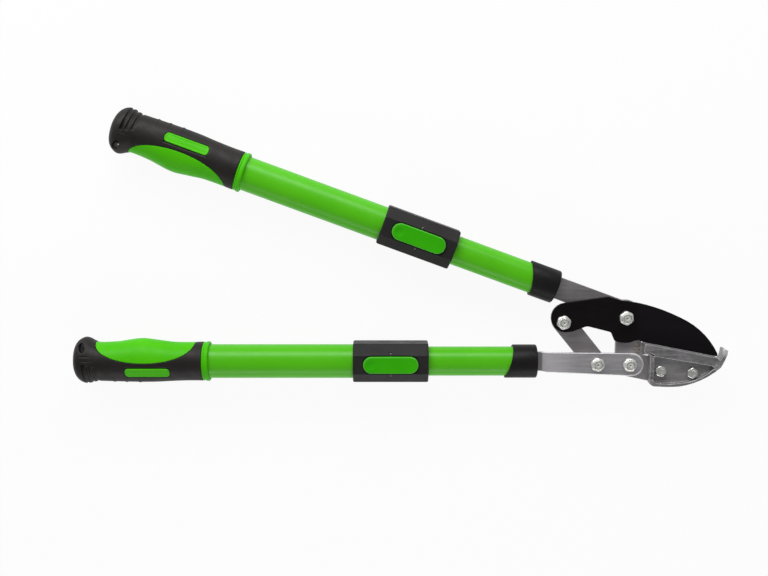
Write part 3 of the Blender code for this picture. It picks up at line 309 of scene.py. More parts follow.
def castSteelFinish():
    finish = newFinish("castSteel", seen(112, 112, 113), 0.5, 0.6)
    patch = addRange(finish, addNoise(finish, 110, 7, 0.65), 0, 1)
    streak = addNoise(finish, 300, 5, 0.6, (0.1, 1, 1), 0.19)
    steel = addBlend(finish, patch, seen(98, 96, 98), seen(140, 138, 140))
    steel = addBlend(finish, addRange(finish, streak, 0, 0.7, 0.42, 0.66), steel, seen(172, 170, 172))
    # painted light: paler low in the pocket, lifting the shade that its rim casts
    pocket = addPlace(finish, 2, 0.0285, 0.0318, 0.4, 0)
    steel = addBlend(finish, pocket, steel, seen(170, 168, 169))
    # painted highlight: the hook's end is painted paler, in patches
    hook = addNear(finish, (headX + 0.0988, headY - 0.0338, 0.0320), 0.002, 0.0065)
    hook = combine(finish, hook, addRange(finish, patch, 0.75, 1, 0, 1))
    steel = addBlend(finish, hook, steel, seen(226, 223, 224))
    # raised edges painted pale: partly rubbed wear, partly a painted highlight
    steel = addBlend(finish, raisedEdges(finish), steel, seen(226, 226, 224))
    return dress(finish, steel, ((240, 5), 0.4, 0.6),
                 ((900, 4), 0.00006, 0.5), ((160, 4), 0.0002, 0.35))


def zincFinish(name, shade, metallic):
    finish = newFinish(name, seen(shade, shade, shade - 5), 0.28, metallic)
    low, high = shade - 14, shade + 16
    bloom = mottle(finish, (320, 5), (low, low, low - 6), (high, high, high - 3))
    return dress(finish, bloom, ((500, 4), 0.2, 0.38), ((1200, 3), 0.00002, 0.35))


def innerPlasticFinish():
    finish = newFinish("innerPlastic", seen(60, 60, 62), 0.5)
    grey = mottle(finish, (80, 3), (54, 54, 56), (66, 66, 68))
    return dress(finish, grey, None, ((1800, 2), 0.00003, 0.4))


greenPaint = greenPaintFinish()
greenPlastic = greenPlasticFinish("greenPlastic", (72, 186, 0), 0.13, None)
# the button's pale rim colour is a painted highlight
buttonGreen = greenPlasticFinish("buttonGreen", (50, 170, 0), 0.12, (170, 226, 140))
blackRubber = blackRubberFinish()
blackPlastic = blackPlasticFinish("blackPlastic", 18, 0.16)
greyPlastic = blackPlasticFinish("greyPlastic", 35, 0.17)
bladeCoat = bladeCoatFinish()
rolledSteel = rolledSteelFinish()
groundSteel = groundSteelFinish()
# plate edges painted paler: a painted highlight
brightEdge = edgeSteelFinish("brightEdge", 238)
dullEdge = edgeSteelFinish("dullEdge", 158)
castSteel = castSteelFinish()
zinc = zincFinish("zinc", 208, 0.85)
dullZinc = zincFinish("dullZinc", 150, 0.7)
paleZinc = zincFinish("paleZinc", 216, 0.45)
innerPlastic = innerPlasticFinish()
print("materials made")


# floor: white to the camera, with part of the object's shadow
floorLook = {"size": 30, "glow": 0.93}


def makeFloor():
    bpy.ops.object.select_all(action="DESELECT")
    bpy.ops.mesh.primitive_plane_add(size=floorLook["size"], location=(0, 0, 0))
    floor = bpy.context.object
    floor.name = "floor"
    finish = newFinish("paleFloor", (0.86, 0.86, 0.86), 0.9, 0, 0)
    shade = addRange(finish, addNoise(finish, 3, 2), 0, 1)
    wire(finish, addBlend(finish, shade, (0.85, 0.85, 0.85), (0.87, 0.87, 0.87)), "Base Color")
    glow = addNode(finish, "Emission")
    ray = addNode(finish, "LightPath")
    clear = ray.outputs["Is Camera Ray"]
    for other in ("Is Glossy Ray", "Is Transmission Ray"):
        clear = combine(finish, clear, ray.outputs[other], "MAXIMUM")
    share = addNode(finish, "Math", {1: floorLook["glow"]}, {0: clear})
    share.operation = "MULTIPLY"
    tree = finish.node_tree
    both = addNode(finish, "MixShader", None, {0: share.outputs[0], 2: glow.outputs[0],
                                               1: tree.nodes["Principled BSDF"].outputs[0]})
    tree.links.new(both.outputs[0], tree.nodes["Material Output"].inputs["Surface"])
    floor.data.materials.append(finish)


makeFloor()
print("floor made")


# small jobs that every piece needs
past = 0.002  # how far a cutting shape reaches past what it cuts


def choose(piece):  # the only selected piece, and the active one
    bpy.ops.object.select_all(action="DESELECT")
    piece.select_set(True)
    bpy.context.view_layer.objects.active = piece


def openPiece(piece):  # into edit mode, with all of it selected
    choose(piece)
    bpy.ops.object.mode_set(mode="EDIT")
    bpy.ops.mesh.select_all(action="SELECT")


def closePiece():
    bpy.ops.object.mode_set(mode="OBJECT")


def bevelEdges(piece, wanted, width, segments, **more):  # the edges that pass a test, in edit mode
    bpy.context.tool_settings.mesh_select_mode = (False, True, False)
    bpy.ops.mesh.select_all(action="DESELECT")
    mesh = bmesh.from_edit_mesh(piece.data)
    for edge in mesh.edges:
        if wanted(edge):
            edge.select_set(True)
    mesh.select_flush_mode()
    bmesh.update_edit_mesh(piece.data)
    bpy.ops.mesh.bevel(offset=width, offset_type="OFFSET", segments=segments, affect="EDGES", **more)


def settle(piece, name=None):  # place, turn and size go into the mesh
    choose(piece)
    bpy.ops.object.transform_apply(location=True, rotation=True, scale=True)
    if name:
        piece.name = name
        piece.data.name = name
    return piece


def lay(piece, spot=(0, 0, 0), turn=(0, 0, 0)):  # moved and turned, and settled there
    piece.location = spot
    piece.rotation_euler = turn
    return settle(piece)


def outward(piece):  # its doubles merged and its faces turned outwards
    openPiece(piece)
    bpy.ops.mesh.remove_doubles(threshold=0.000002)
    bpy.ops.mesh.normals_make_consistent(inside=False)
    closePiece()


def applyModifier(piece, kind, **values):
    choose(piece)
    step = piece.modifiers.new(kind.title(), kind)
    for key, value in values.items():
        setattr(step, key, value)
    bpy.ops.object.modifier_apply(modifier=step.name)


def merge(piece, other, operation="UNION"):  # boolean with another shape, which is then gone
    applyModifier(piece, "BOOLEAN", operation=operation, object=other, solver="EXACT")
    bpy.data.objects.remove(other, do_unlink=True)


def cutOut(piece, *others):
    for other in others:
        merge(piece, other, "DIFFERENCE")


def roundEdges(piece, width, sharper):
    applyModifier(piece, "BEVEL", width=width, segments=2, limit_method="ANGLE",
                  angle_limit=math.radians(sharper), use_clamp_overlap=True, harden_normals=False)


def smooth(piece, angle=35):
    choose(piece)
    bpy.ops.object.shade_smooth_by_angle(angle=math.radians(angle))


def soften(piece, grain, rounds, keep=1):
    # one even skin over joined shapes, with their edges rounded as moulding leaves them;
    # keep is the share of its triangles that stays
    applyModifier(piece, "REMESH", mode="VOXEL", voxel_size=grain, adaptivity=0)
    applyModifier(piece, "SMOOTH", factor=0.5, iterations=rounds)
    if keep < 1:
        applyModifier(piece, "DECIMATE", ratio=keep)


def finishPiece(piece, finish, body, node):
    slots = piece.data.materials
    if slots:
        slots[0] = finish
    else:
        slots.append(finish)
    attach(piece, body)
    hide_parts(node)


def copyPiece(piece, name):
    twin = bpy.data.objects.new(name, piece.data.copy())
    twin.data.name = name
    bpy.context.scene.collection.objects.link(twin)
    return twin


def turned(name, rings, sides, solid=True):
    # a turned shape along x: a circle, then one extrusion for each (radius, along) that follows
    radius, along = rings[0]
    bpy.ops.object.select_all(action="DESELECT")
    bpy.ops.mesh.primitive_circle_add(vertices=sides, radius=radius, location=(along, 0, 0),
                                      rotation=(0, math.pi / 2, 0),
                                      fill_type="NGON" if solid else "NOTHING")
    piece = settle(bpy.context.object, name)
    bpy.context.tool_settings.mesh_select_mode = (False, not solid, solid)
    openPiece(piece)
    for nextRadius, nextAlong in rings[1:]:
        bpy.ops.mesh.extrude_region_move(TRANSFORM_OT_translate={"value": (nextAlong - along, 0, 0)})
        share = nextRadius / radius
        if abs(share - 1) > 1e-6:
            bpy.ops.transform.resize(value=(1, share, share), center_override=(nextAlong, 0, 0))
        radius, along = nextRadius, nextAlong
    closePiece()
    outward(piece)
    return piece


def upright(name, rings, sides, spot=(0, 0, 0), solid=True, twist=0):
    # a turned shape that stands along z, its corners twisted off those of what it meets
    return lay(turned(name, rings, sides, solid), spot, (0, -math.pi / 2, math.radians(twist)))


def slab(name, outline, low, high):
    # an outline seen from above, cut out of a sheet between two heights
    bpy.ops.object.select_all(action="DESELECT")
    bpy.ops.mesh.primitive_circle_add(vertices=len(outline), radius=1, fill_type="NGON")
    piece = bpy.context.object
    piece.name = name
    for vertex, (x, y) in zip(piece.data.vertices, outline):
        vertex.co = (x, y, low)
    openPiece(piece)
    bpy.ops.mesh.extrude_region_move(TRANSFORM_OT_translate={"value": (0, 0, high - low)})
    bpy.ops.mesh.select_all(action="SELECT")
    bpy.ops.mesh.normals_make_consistent(inside=False)
    closePiece()
    return piece


def block(name, low, high):
    middle = [(a + b) / 2 for a, b in zip(low, high)]
    bpy.ops.object.select_all(action="DESELECT")
    bpy.ops.mesh.primitive_cube_add(size=1, location=middle)
    piece = bpy.context.object
    piece.scale = [b - a for a, b in zip(low, high)]
    return settle(piece, name)


def pill(length, width, steps=16):  # outline of a bar with round ends
    reach = (length - width) / 2
    points = []
    for centre, start in ((reach, -90), (-reach, 90)):
        for step in range(steps + 1):
            turn = math.radians(start + 180 * step / steps)
            points.append((centre + width / 2 * math.cos(turn), width / 2 * math.sin(turn)))
    return points


# where the handles lie: local x runs back along the handle, local y to the other handle
handlePlaces = {
    "upper": {"front": (0.15668, -0.03952, 0.02), "turn": math.pi - math.radians(20.17), "flip": 1},
    "lower": {"front": (0.1384, -0.11485, 0.02), "turn": math.pi, "flip": -1},
}


def toHandle(piece, word):
    spot = handlePlaces[word]
    piece.matrix_world = (Matrix.Translation(spot["front"]) @ Matrix.Rotation(spot["turn"], 4, "Z")
                          @ Matrix.Diagonal((1, spot["flip"], 1, 1)))
    settle(piece)
    outward(piece)
    return piece


def onBothHandles(piece, finish, body, node, angle=35):
    # the piece is made once, in the handle's own axes, and copied to the other handle
    title = piece.name[0].upper() + piece.name[1:]
    for word in ("upper", "lower"):
        twin = copyPiece(piece, word + title)
        toHandle(twin, word)
        smooth(twin, angle)
        finishPiece(twin, finish, f"{word}_{body}", f"{word}_{node}")
    bpy.data.objects.remove(piece, do_unlink=True)


# tubes
tubeSizes = {
    "outer": (0.0170, 0.0156, 0.1163, 0.4482),  # radius, bore, start and end
    "inner": (0.0147, 0.0133, 0.0028, 0.4282),
    "sides": 96,
    "lip": 0.0002,
    "holeRadius": 0.0033,
    "firstHole": 0.12675,
    "holeStep": 0.05,
    "holeCount": 6,
    "slotHalf": 0.00965,
    "slotEnd": 0.15325,
    "cutLow": 0.005,
    "cutHigh": 0.02,
}


def makeTube(word):
    radius, bore, start, end = tubeSizes[word]
    lip = tubeSizes["lip"]
    rings = [(bore + lip, start), (radius - lip, start), (radius, start + lip), (radius, end - lip),
             (radius - lip, end), (bore + lip, end), (bore, end - lip), (bore, start + lip),
             (bore + lip, start)]
    return turned(word + "Tube", rings, tubeSizes["sides"], False)


def makeTubes():
    s = tubeSizes
    outer = makeTube("outer")
    start, half = s["outer"][2], s["slotHalf"]
    slot = block("slot", (start - past, -half, s["cutLow"]), (s["slotEnd"], half, s["cutHigh"]))
    cutOut(outer, slot)
    onBothHandles(outer, greenPaint, "sleeve", "outer_tube")
    inner = makeTube("inner")
    rings = [(s["holeRadius"], s["cutLow"]), (s["holeRadius"], s["cutHigh"])]
    for step in range(s["holeCount"]):
        where = s["firstHole"] + step * s["holeStep"]
        cutOut(inner, upright("hole", rings, 32, (where, 0, 0)))
    onBothHandles(inner, greenPaint, "arm", "inner_tube")
    print("tubes made")


makeTubes()


# ferrules: a collar with a rounded front edge and a slanted mouth
ferruleSizes = {
    "sides": 96,
    "radius": 0.0168,
    "bore": 0.0150,
    "face": 0.0025,
    "edge": 0.0014,
    "eye": 0.0005,
    "rim": 0.0004,
    "rear": 0.020,
    "short": 0.0240,
    "long": 0.0320,
    "curve": 1.4,
    "upperSlot": (0.0113, 0.0028),
    "lowerSlot": (0.0103, 0.0023),
}


def makeFerrules():
    s = ferruleSizes
    radius, bore, face, edge, eye, rim, rear = (
        s[key] for key in ("radius", "bore", "face", "edge", "eye", "rim", "rear"))
    rings = [(eye, 0), (radius - edge, 0)]
    for step in range(1, 6):
        turn = math.pi / 2 * step / 5
        rings.append((radius - edge * (1 - math.sin(turn)), edge * (1 - math.cos(turn))))
    rings += [(radius, rear - rim), (radius - rim / 3, rear - rim / 3), (radius - rim, rear),
              (bore + rim, rear), (bore, rear - rim), (bore, face), (eye, face), (eye, 0)]
    for word in ("upper", "lower"):
        collar = turned(f"{word}Ferrule", rings, s["sides"], False)
        # the rings at the mouth move back, most on the side away from the other handle
        for vertex in collar.data.vertices:
            if vertex.co.x > rear - 0.001:
                away = max(0.0, (1 - vertex.co.y / math.hypot(vertex.co.y, vertex.co.z)) / 2)
                mouth = s["short"] + (s["long"] - s["short"]) * away ** s["curve"]
                vertex.co.x += mouth - rear
        wide, high = s[word + "Slot"]
        cutOut(collar, block("slot", (-past, -wide, -high), (face + past, wide, high)))
        toHandle(collar, word)
        smooth(collar, 40)
        finishPiece(collar, blackPlastic, f"{word}_arm", f"{word}_ferrule")
    print("ferrules made")


makeFerrules()


# lock housings: an eight-sided sleeve with a window for the button
housingSizes = {
    "start": 0.1090,
    "length": 0.0755,
    "width": 0.0390,
    "depth": 0.0400,
    "flat": 0.0188,
    "guideRadius": 0.0151,
    "guide": 0.0070,
    "bore": 0.0173,
    "window": (0.0562, 0.0183),
    "windowLow": 0.008,
    "endRound": 0.0014,
    "pinRadius": 0.0010,
    "pinGap": 0.0001,
    "pinChamfer": 0.0003,
    "pinReach": 0.0117,
    "pinHeight": 0.0177,
    "screwBack": 0.008,
    "screwRadius": 0.0031,
    "screwFloor": 0.0165,
    "grain": 0.0005,
    "keep": 0.5,
}


def makeHousings():
    s = housingSizes
    start, end = s["start"], s["start"] + s["length"]
    middle = (start + end) / 2
    wide, deep = s["width"] / 2, s["depth"] / 2
    body = block("lockHousing", (start, -wide, -deep), (end, wide, deep))

    def isLong(edge):
        return abs((edge.verts[0].co - edge.verts[1].co).x) > 0.01

    openPiece(body)
    bevelEdges(body, isLong, wide - s["flat"] / 2, 1)
    bevelEdges(body, lambda edge: not isLong(edge), s["endRound"], 4)
    closePiece()
    bore = turned("bore", [(s["guideRadius"], start - past), (s["guideRadius"], start + s["guide"]),
                           (s["bore"], start + s["guide"]), (s["bore"], end + past)], 96)
    window = lay(slab("window", pill(*s["window"]), s["windowLow"], deep + past), (middle, 0, 0))
    pinSpot, pinTurn = (middle, 0, s["pinHeight"]), (0, 0, math.pi / 2)
    radius, reach, chamfer = s["pinRadius"], s["pinReach"], s["pinChamfer"]
    pinHole = turned("pinHole", [(radius + s["pinGap"], -wide), (radius + s["pinGap"], wide)], 32)
    sink = upright("sink", [(s["screwRadius"], -deep - past), (s["screwRadius"], -s["screwFloor"])], 32,
                   (end - s["screwBack"], 0, 0))
    cutOut(body, bore, window, lay(pinHole, pinSpot, pinTurn), sink)
    soften(body, s["grain"], 2, s["keep"])
    onBothHandles(body, greyPlastic, "sleeve", "lock_housing", 60)
    pin = turned("rockerPin", [(radius - chamfer, -reach), (radius, chamfer - reach),
                               (radius, reach - chamfer), (radius - chamfer, reach)], 40)
    lay(pin, pinSpot, pinTurn)
    onBothHandles(pin, dullZinc, "sleeve", "rocker_pin")
    print("lock housings made")


makeHousings()


# lock buttons: a rocker with round ends, a crowned top and a dimple at the grip's end
buttonSizes = {
    "middle": 0.14675,
    "length": 0.0550,
    "width": 0.0170,
    "bottom": 0.0158,
    "top": 0.0224,
    "crown": 0.0016,
    "dimpleRadius": 0.0125,
    "dimpleDepth": 0.0009,
    "dimpleBack": 0.0198,
    "swing": 6,
    "hollowStart": 0.0042,
    "hollowTop": 0.0176,
    "hollowLow": 0.012,
    "headUnder": 0.0162,
    "grain": 0.00033,
}


def makeButtons():
    s = buttonSizes
    button = slab("lockButton", pill(s["length"], s["width"], 24), s["bottom"], s["top"])
    openPiece(button)
    bevelEdges(button, lambda edge: all(v.co.z > s["top"] - 1e-5 for v in edge.verts), s["crown"], 8,
               profile=0.62, clamp_overlap=True)
    closePiece()
    bpy.ops.object.select_all(action="DESELECT")
    bpy.ops.mesh.primitive_uv_sphere_add(
        segments=96, ring_count=48, radius=s["dimpleRadius"],
        location=(s["dimpleBack"], 0, s["top"] + s["dimpleRadius"] - s["dimpleDepth"]))
    dimple = settle(bpy.context.object)
    # the grip's end is hollow, so that it can go down
    fall = math.tan(math.radians(s["swing"]))
    near, far = s["hollowStart"], s["length"] / 2 + past
    top, low = s["hollowTop"], s["hollowLow"]
    under = [(near, top + fall * near), (far, top + fall * far), (far, low), (near, low)]
    wedge = lay(slab("wedge", under, -s["width"], s["width"]), turn=(math.pi / 2, 0, 0))
    headEnd = block("headEnd", (-far, -s["width"], low), (-near, s["width"], s["headUnder"]))
    cutOut(button, dimple, wedge, headEnd)
    soften(button, s["grain"], 3)
    lay(button, (s["middle"], 0, 0))
    onBothHandles(button, buttonGreen, "button", "lock_button", 60)
    print("lock buttons made")


makeButtons()


# grips: stations are back from the butt, reach to the other handle, reach away, half depth
gripSizes = {
    "start": 0.3285,
    "length": 0.1380,
    "ringLength": 0.0066,
    "ringRadius": 0.0200,
    "ringLip": 0.0004,
    "coreBore": 0.0173,
    "coreRadius": 0.0181,
    "cavity": 0.0180,
    "coreEnd": 0.4500,
    "endWall": 0.0014,
    "endHole": 0.003,
    "sides": 120,
    "buttStops": (0.0007, 0.0009, 0.0013, 0.0018, 0.0024, 0.0031, 0.0040),
    "evenStops": (0.0050, 0.0012, 105),  # first, step and count
    "grain": 0.0005,
    "keep": 0.5,
    "panelGrain": 0.0004,
    "panelKeep": 0.6,
    "stations": (
        (0.0007, 0.0045, 0.0036, 0.0034),
        (0.0013, 0.0104, 0.0078, 0.0080),
        (0.0021, 0.0143, 0.0108, 0.0112),
        (0.0031, 0.0170, 0.0136, 0.0139),
        (0.0046, 0.0196, 0.0164, 0.0163),
        (0.0065, 0.0217, 0.0187, 0.0181),
        (0.0088, 0.0233, 0.0205, 0.0192),
        (0.0112, 0.0244, 0.0216, 0.0198),
        (0.0136, 0.0249, 0.0222, 0.0200),
        (0.0172, 0.0240, 0.0219, 0.0200),
        (0.0220, 0.0212, 0.0207, 0.0199),
        (0.0237, 0.0206, 0.0205, 0.0199),
        (0.0246, 0.0199, 0.0200, 0.0196),
        (0.0290, 0.0195, 0.0200, 0.0196),
        (0.0450, 0.0203, 0.0205, 0.0196),
        (0.0690, 0.0235, 0.0210, 0.0200),
        (0.0860, 0.0217, 0.0208, 0.0198),
        (0.1010, 0.0197, 0.0200, 0.0196),
        (0.1180, 0.0194, 0.0195, 0.0195),
        (0.1311, 0.0196, 0.0196, 0.0197),
    ),
    "panelRear": (0.0235, 0.0215),
    "panelLow": (0.0740, 0.0010),
    "panelFront": (0.1240, 0.0215),
    "padMiddle": (0.0775, -0.0085),
    "padLength": 0.0450,
    "padWidth": 0.0095,
    "padCorner": 0.0038,
    "padRim": 0.0003,
    "dishInset": 0.0016,
    "dishDepth": 0.0004,
    "panelSink": 0.0001,
    "panelLap": 0.0001,
    "gap": 0.0003,
}
gripEnd = gripSizes["start"] + gripSizes["length"]
beyond = 0.03  # outside the grip's skin on every side
# the ring's section: how far inside its radius, and how far back from its front
ringProfile = (
    (0.0013, 0), (0.0005, 0.0003), (0.0001, 0.0009), (0, 0.0016), (0, 0.0028), (0.0003, 0.0035),
    (0.0008, 0.0040), (0.0010, 0.0045), (0.0007, 0.0050), (0.0005, 0.0055), (0.0006, 0.0061),
    (0.0010, 0.0065), (0.0014, 0.0066),
)
# cuts in the grip's skin: place back from the butt, width, how deep at the side and in front,
# which part of the side they cross, and their slant
gripCuts = (
    (0.0136, 0.0028, 0.0011, 0.0024, (-0.040, 0.0006), 0.07),
    (0.0185, 0.0028, 0.0015, 0.0012, (-0.040, -0.0010), 0.09),
    (0.0237, 0.0027, 0.0013, 0.0011, (-0.040, -0.0026), 0.09),
    (0.0160, 0.0170, 0.0004, 0.0005, (0.0025, 0.0037), 0),
    (0.0160, 0.0170, 0.0004, 0.0005, (0.0071, 0.0083), 0),
    (0.0775, 0.0450, 0.0010, 0.0009, (-0.0038, -0.0024), 0),
)
gripRibs = {"backs": (0.0420, 0.0540, 0.0675), "width": 0.0034, "height": 0.0006, "foot": 0.0012,
            "flank": (0.45, 0.7), "shift": 0.0025}  # flank: shares of the half width and height
gripHole = {"back": 0.0120, "across": 0.0168, "radius": 0.0028, "slotLength": 0.0094,
            "slotWidth": 0.0056, "slotAcross": 0.0160, "slotFloor": 0.0104, "turn": 68}


def gripReach(back):  # a smooth curve through the stations
    stations = gripSizes["stations"]
    last = len(stations) - 1
    spot = 0
    while spot < last - 1 and stations[spot + 1][0] < back:
        spot += 1
    before, here, there, after = (stations[min(max(spot + k, 0), last)] for k in (-1, 0, 1, 2))
    span = there[0] - here[0]
    share = min(max((back - here[0]) / span, 0), 1)
    square, cube = share * share, share ** 3
    reach = []
    for k in (1, 2, 3):
        runIn = (there[k] - before[k]) / (there[0] - before[0]) * span
        runOut = (after[k] - here[k]) / (after[0] - here[0]) * span
        reach.append((2 * cube - 3 * square + 1) * here[k] + (cube - 2 * square + share) * runIn
                     + (3 * square - 2 * cube) * there[k] + (cube - square) * runOut)
    return reach


def gripSkin(name, grown=0.0):
    # one ring for each step back from the front, then each ring takes the grip's section
    s = gripSizes
    first, step, count = s["evenStops"]
    stops = [*s["buttStops"], *(first + step * spot for spot in range(count)), s["stations"][-1][0]]
    rings = [(s["ringRadius"], gripEnd - stop) for stop in reversed(stops)]
    skin = turned(name, rings, s["sides"])
    for vertex in skin.data.vertices:
        inner, outer, depth = gripReach(gripEnd - vertex.co.x)
        turn = math.atan2(vertex.co.z, vertex.co.y)
        across, up = math.cos(turn), math.sin(turn)
        side = (inner if across > 0 else outer) + grown
        vertex.co = (vertex.co.x, across * side, up * (depth + grown))
    return skin


def panelOutline(inset):  # a quarter of an ellipse each side of the panel's lowest point
    s = gripSizes
    (rear, rearOut), (low, lowOut), (front, frontOut) = s["panelRear"], s["panelLow"], s["panelFront"]
    rear += inset
    lowOut += inset
    front -= inset
    points = []
    for step in range(-28, 29):
        turn = math.pi / 2 * step / 28
        length, rise = (low - rear, rearOut - lowOut) if step < 0 else (front - low, frontOut - lowOut)
        points.append((gripEnd - low - length * math.sin(turn), lowOut + rise * (1 - math.cos(turn))))
    return points + [(gripEnd - front, beyond), (gripEnd - rear, beyond)]


def padOutline(inset):
    s = gripSizes
    long, wide = s["padLength"] / 2 - inset, s["padWidth"] / 2 - inset
    corner = s["padCorner"] - inset
    backX, y = s["padMiddle"]
    points = []
    for signX, signY, start in ((1, 1, 0), (-1, 1, 90), (-1, -1, 180), (1, -1, 270)):
        for step in range(9):
            turn = math.radians(start + 90 * step / 8)
            points.append((gripEnd - backX + signX * (long - corner) + corner * math.cos(turn),
                           y + signY * (wide - corner) + corner * math.sin(turn)))
    return points


def cutGrip(sleeve, back, width, atSide, inFront, across, slant):
    # a disc round the grip, its middle taken out along the grip's section, trimmed and slanted
    inner, outer, depth = gripReach(back)
    low, high = across
    half = width / 2
    wide, clear = 0.034, 0.040  # the disc's radius, and a reach past it
    groove = turned("groove", [(wide, -half), (wide, half)], 120)
    plug = turned("plug", [(1, -2 * half), (1, 2 * half)], 120)
    plug.scale = (1, (inner if low > 0 else outer) - atSide, depth - inFront)
    cutOut(groove, settle(plug))
    merge(groove, block("keep", (-half - past, low, -clear), (half + past, high, clear)), "INTERSECT")
    cutOut(sleeve, lay(groove, (gripEnd - back, 0, 0), (0, 0, -math.atan(slant))))


def makeGripSleeves():
    s = gripSizes
    sleeve = gripSkin("gripSleeve")
    # low ribs across the outer side: rings shifted outward, so that they fade into the skin
    half, height, shift = gripRibs["width"] / 2, gripRibs["height"], gripRibs["shift"]
    along, up = half * gripRibs["flank"][0], height * gripRibs["flank"][1]
    for back in gripRibs["backs"]:
        reach, where = gripReach(back)[1] - shift, gripEnd - back
        foot, flank = reach - gripRibs["foot"], reach + up
        rib = turned("rib", [(foot, where - half), (flank, where - along), (reach + height, where),
                             (flank, where + along), (foot, where + half)], 96)
        merge(sleeve, lay(rib, (0, -shift, 0)))
    for cut in gripCuts:
        cutGrip(sleeve, *cut)
    cavity = turned("cavity", [(s["cavity"], s["start"]), (s["cavity"], s["coreEnd"] + s["gap"])], 96)
    cutOut(sleeve, cavity, slab("panelWindow", panelOutline(0), -beyond, beyond),
           slab("padWindow", padOutline(0), -beyond, beyond))
    # the hanging hole, with a slanted dish round each of its mouths
    h = gripHole
    hole = upright("hangingHole", [(h["radius"], -beyond), (h["radius"], beyond)], 48,
                   (gripEnd - h["back"], h["across"], 0))
    cutOut(sleeve, hole)
    for low, high in ((h["slotFloor"], beyond), (-beyond, -h["slotFloor"])):
        dish = slab("dish", pill(h["slotLength"], h["slotWidth"]), low, high)
        spot = (gripEnd - h["back"], h["slotAcross"], 0)
        cutOut(sleeve, lay(dish, spot, (0, 0, math.radians(h["turn"]))))
    soften(sleeve, s["grain"], 3, s["keep"])
    onBothHandles(sleeve, blackRubber, "sleeve", "grip_sleeve", 60)
    print("grip sleeves made")


makeGripSleeves()


def makeGripCores():
    s = gripSizes
    start, end = s["start"], s["start"] + s["ringLength"]
    bore, radius, rear = s["coreBore"], s["coreRadius"], s["coreEnd"]
    rings = [(bore, start + s["ringLip"]), (bore + s["ringLip"], start)]
    rings += [(s["ringRadius"] - inset, start + along) for inset, along in ringProfile]
    rings += [(radius, end), (radius, rear), (s["endHole"], rear), (s["endHole"], rear - s["endWall"]),
              (bore, rear - s["endWall"]), (bore, start + s["ringLip"])]
    collar = turned("gripRing", rings, s["sides"], False)
    onBothHandles(collar, greenPlastic, "sleeve", "grip_core", 40)
    inside = radius - s["panelLap"]
    # the front pad's rim stands a little proud; the back one lies in the skin
    for name, outline, grown, hidden in (
        ("palmPanel", panelOutline(s["gap"]), -s["panelSink"], None),
        ("frontPad", padOutline(s["gap"]), s["padRim"], (-beyond, 0)),
        ("backPad", padOutline(s["gap"]), 0.0, (0, beyond)),
    ):
        panel = gripSkin(name, grown)
        merge(panel, slab("shape", outline, -beyond, beyond), "INTERSECT")
        cutOut(panel, turned("core", [(inside, start - past), (inside, gripEnd + past)], 120))
        if hidden:
            low, high = hidden
            cutOut(panel, block("otherSide", (start, -beyond, low), (gripEnd, beyond, high)))
            dish = slab("dish", padOutline(s["dishInset"]), -beyond, beyond)
            cutOut(dish, gripSkin("floor", grown - s["dishDepth"]))
            cutOut(panel, dish)
        soften(panel, s["panelGrain"], 3, s["panelKeep"])
        onBothHandles(panel, greenPlastic, "sleeve", "grip_core", 60)
    print("grip cores made")


makeGripCores()


# head plates: cut from the frame's own outlines, with their edges rounded
def copyPlate(node, name):
    plate = copyPiece(frame["nodes"][node], name)
    if node == "lower_bar":  # its round end lies further ahead of its pivot than the solid's
        for vertex in plate.data.vertices:
            away = math.dist(vertex.co.xy, (pivotX, pivotY))
            if vertex.co.x > pivotX - barEnd["start"] and away > barEnd["holeClear"]:
                vertex.co.x += barEnd["nose"]
    openPiece(plate)
    bpy.ops.mesh.customdata_custom_splitnormals_clear()
    bpy.ops.mesh.remove_doubles(threshold=0.000003)
    bpy.ops.mesh.dissolve_limited(angle_limit=math.radians(0.5))
    closePiece()
    return plate


def makeHead():
    for node, name, width, faceFinish, edgeFinish, body, slotName in (
        ("jaw_plate", "jawPlate", 0.0004, rolledSteel, dullEdge, "upper_arm", "dark_steel"),
        ("link", "pullLink", 0.0005, rolledSteel, dullEdge, "link", "dark_steel"),
        ("lower_bar", "lowerBar", 0.0009, groundSteel, brightEdge, "lower_arm", "bright_steel"),
        ("blade", "cuttingBlade", 0.0003, bladeCoat, bladeCoat, "blade", "coated_blade"),
    ):
        plate = copyPlate(node, name)
        plate.data.materials.append(edgeFinish)
        applyModifier(plate, "BEVEL", width=width, segments=3, limit_method="ANGLE", material=1,
                      angle_limit=math.radians(35), use_clamp_overlap=False, harden_normals=False)
        smooth(plate)
        # large flat faces keep straight highlights beside the rounded edges
        applyModifier(plate, "WEIGHTED_NORMAL", mode="FACE_AREA", weight=50, keep_sharp=True)
        finishPiece(plate, faceFinish, body, node)
    print("head plates made")


makeHead()


# the anvil: the frame's casting, with a fuller heel, a step along its left rim, a notch,
# a ring mark at the hook's foot and a rounded rim round its pocket
anvilSizes = {
    "slope": 11.1,
    "top": 0.0323,
    "grain": 0.0003,
    "heel": ((0.0170, -0.0262), (0.0205, -0.0268), (0.0262, -0.0350), (0.0262, -0.0385),
             (0.0170, -0.0385)),
    "heelHeights": (0.0176, 0.0224),
    "step": ((0.0259, -0.0405), (0.0284, -0.0405), (0.0284, -0.0625), (0.0259, -0.0625)),
    "stepDepth": 0.0006,
    "notch": ((0.0236, -0.0347), (0.0290, -0.0372), (0.0284, -0.0388), (0.0232, -0.0361)),
    "notchDepth": 0.0018,
    "mark": (0.0908, -0.0495, 0.0020, 0.0027),
    "markDepth": 0.0005,
    "pocketStart": 0.044,
    "pocketRim": 0.0010,
    "keep": 0.45,
}


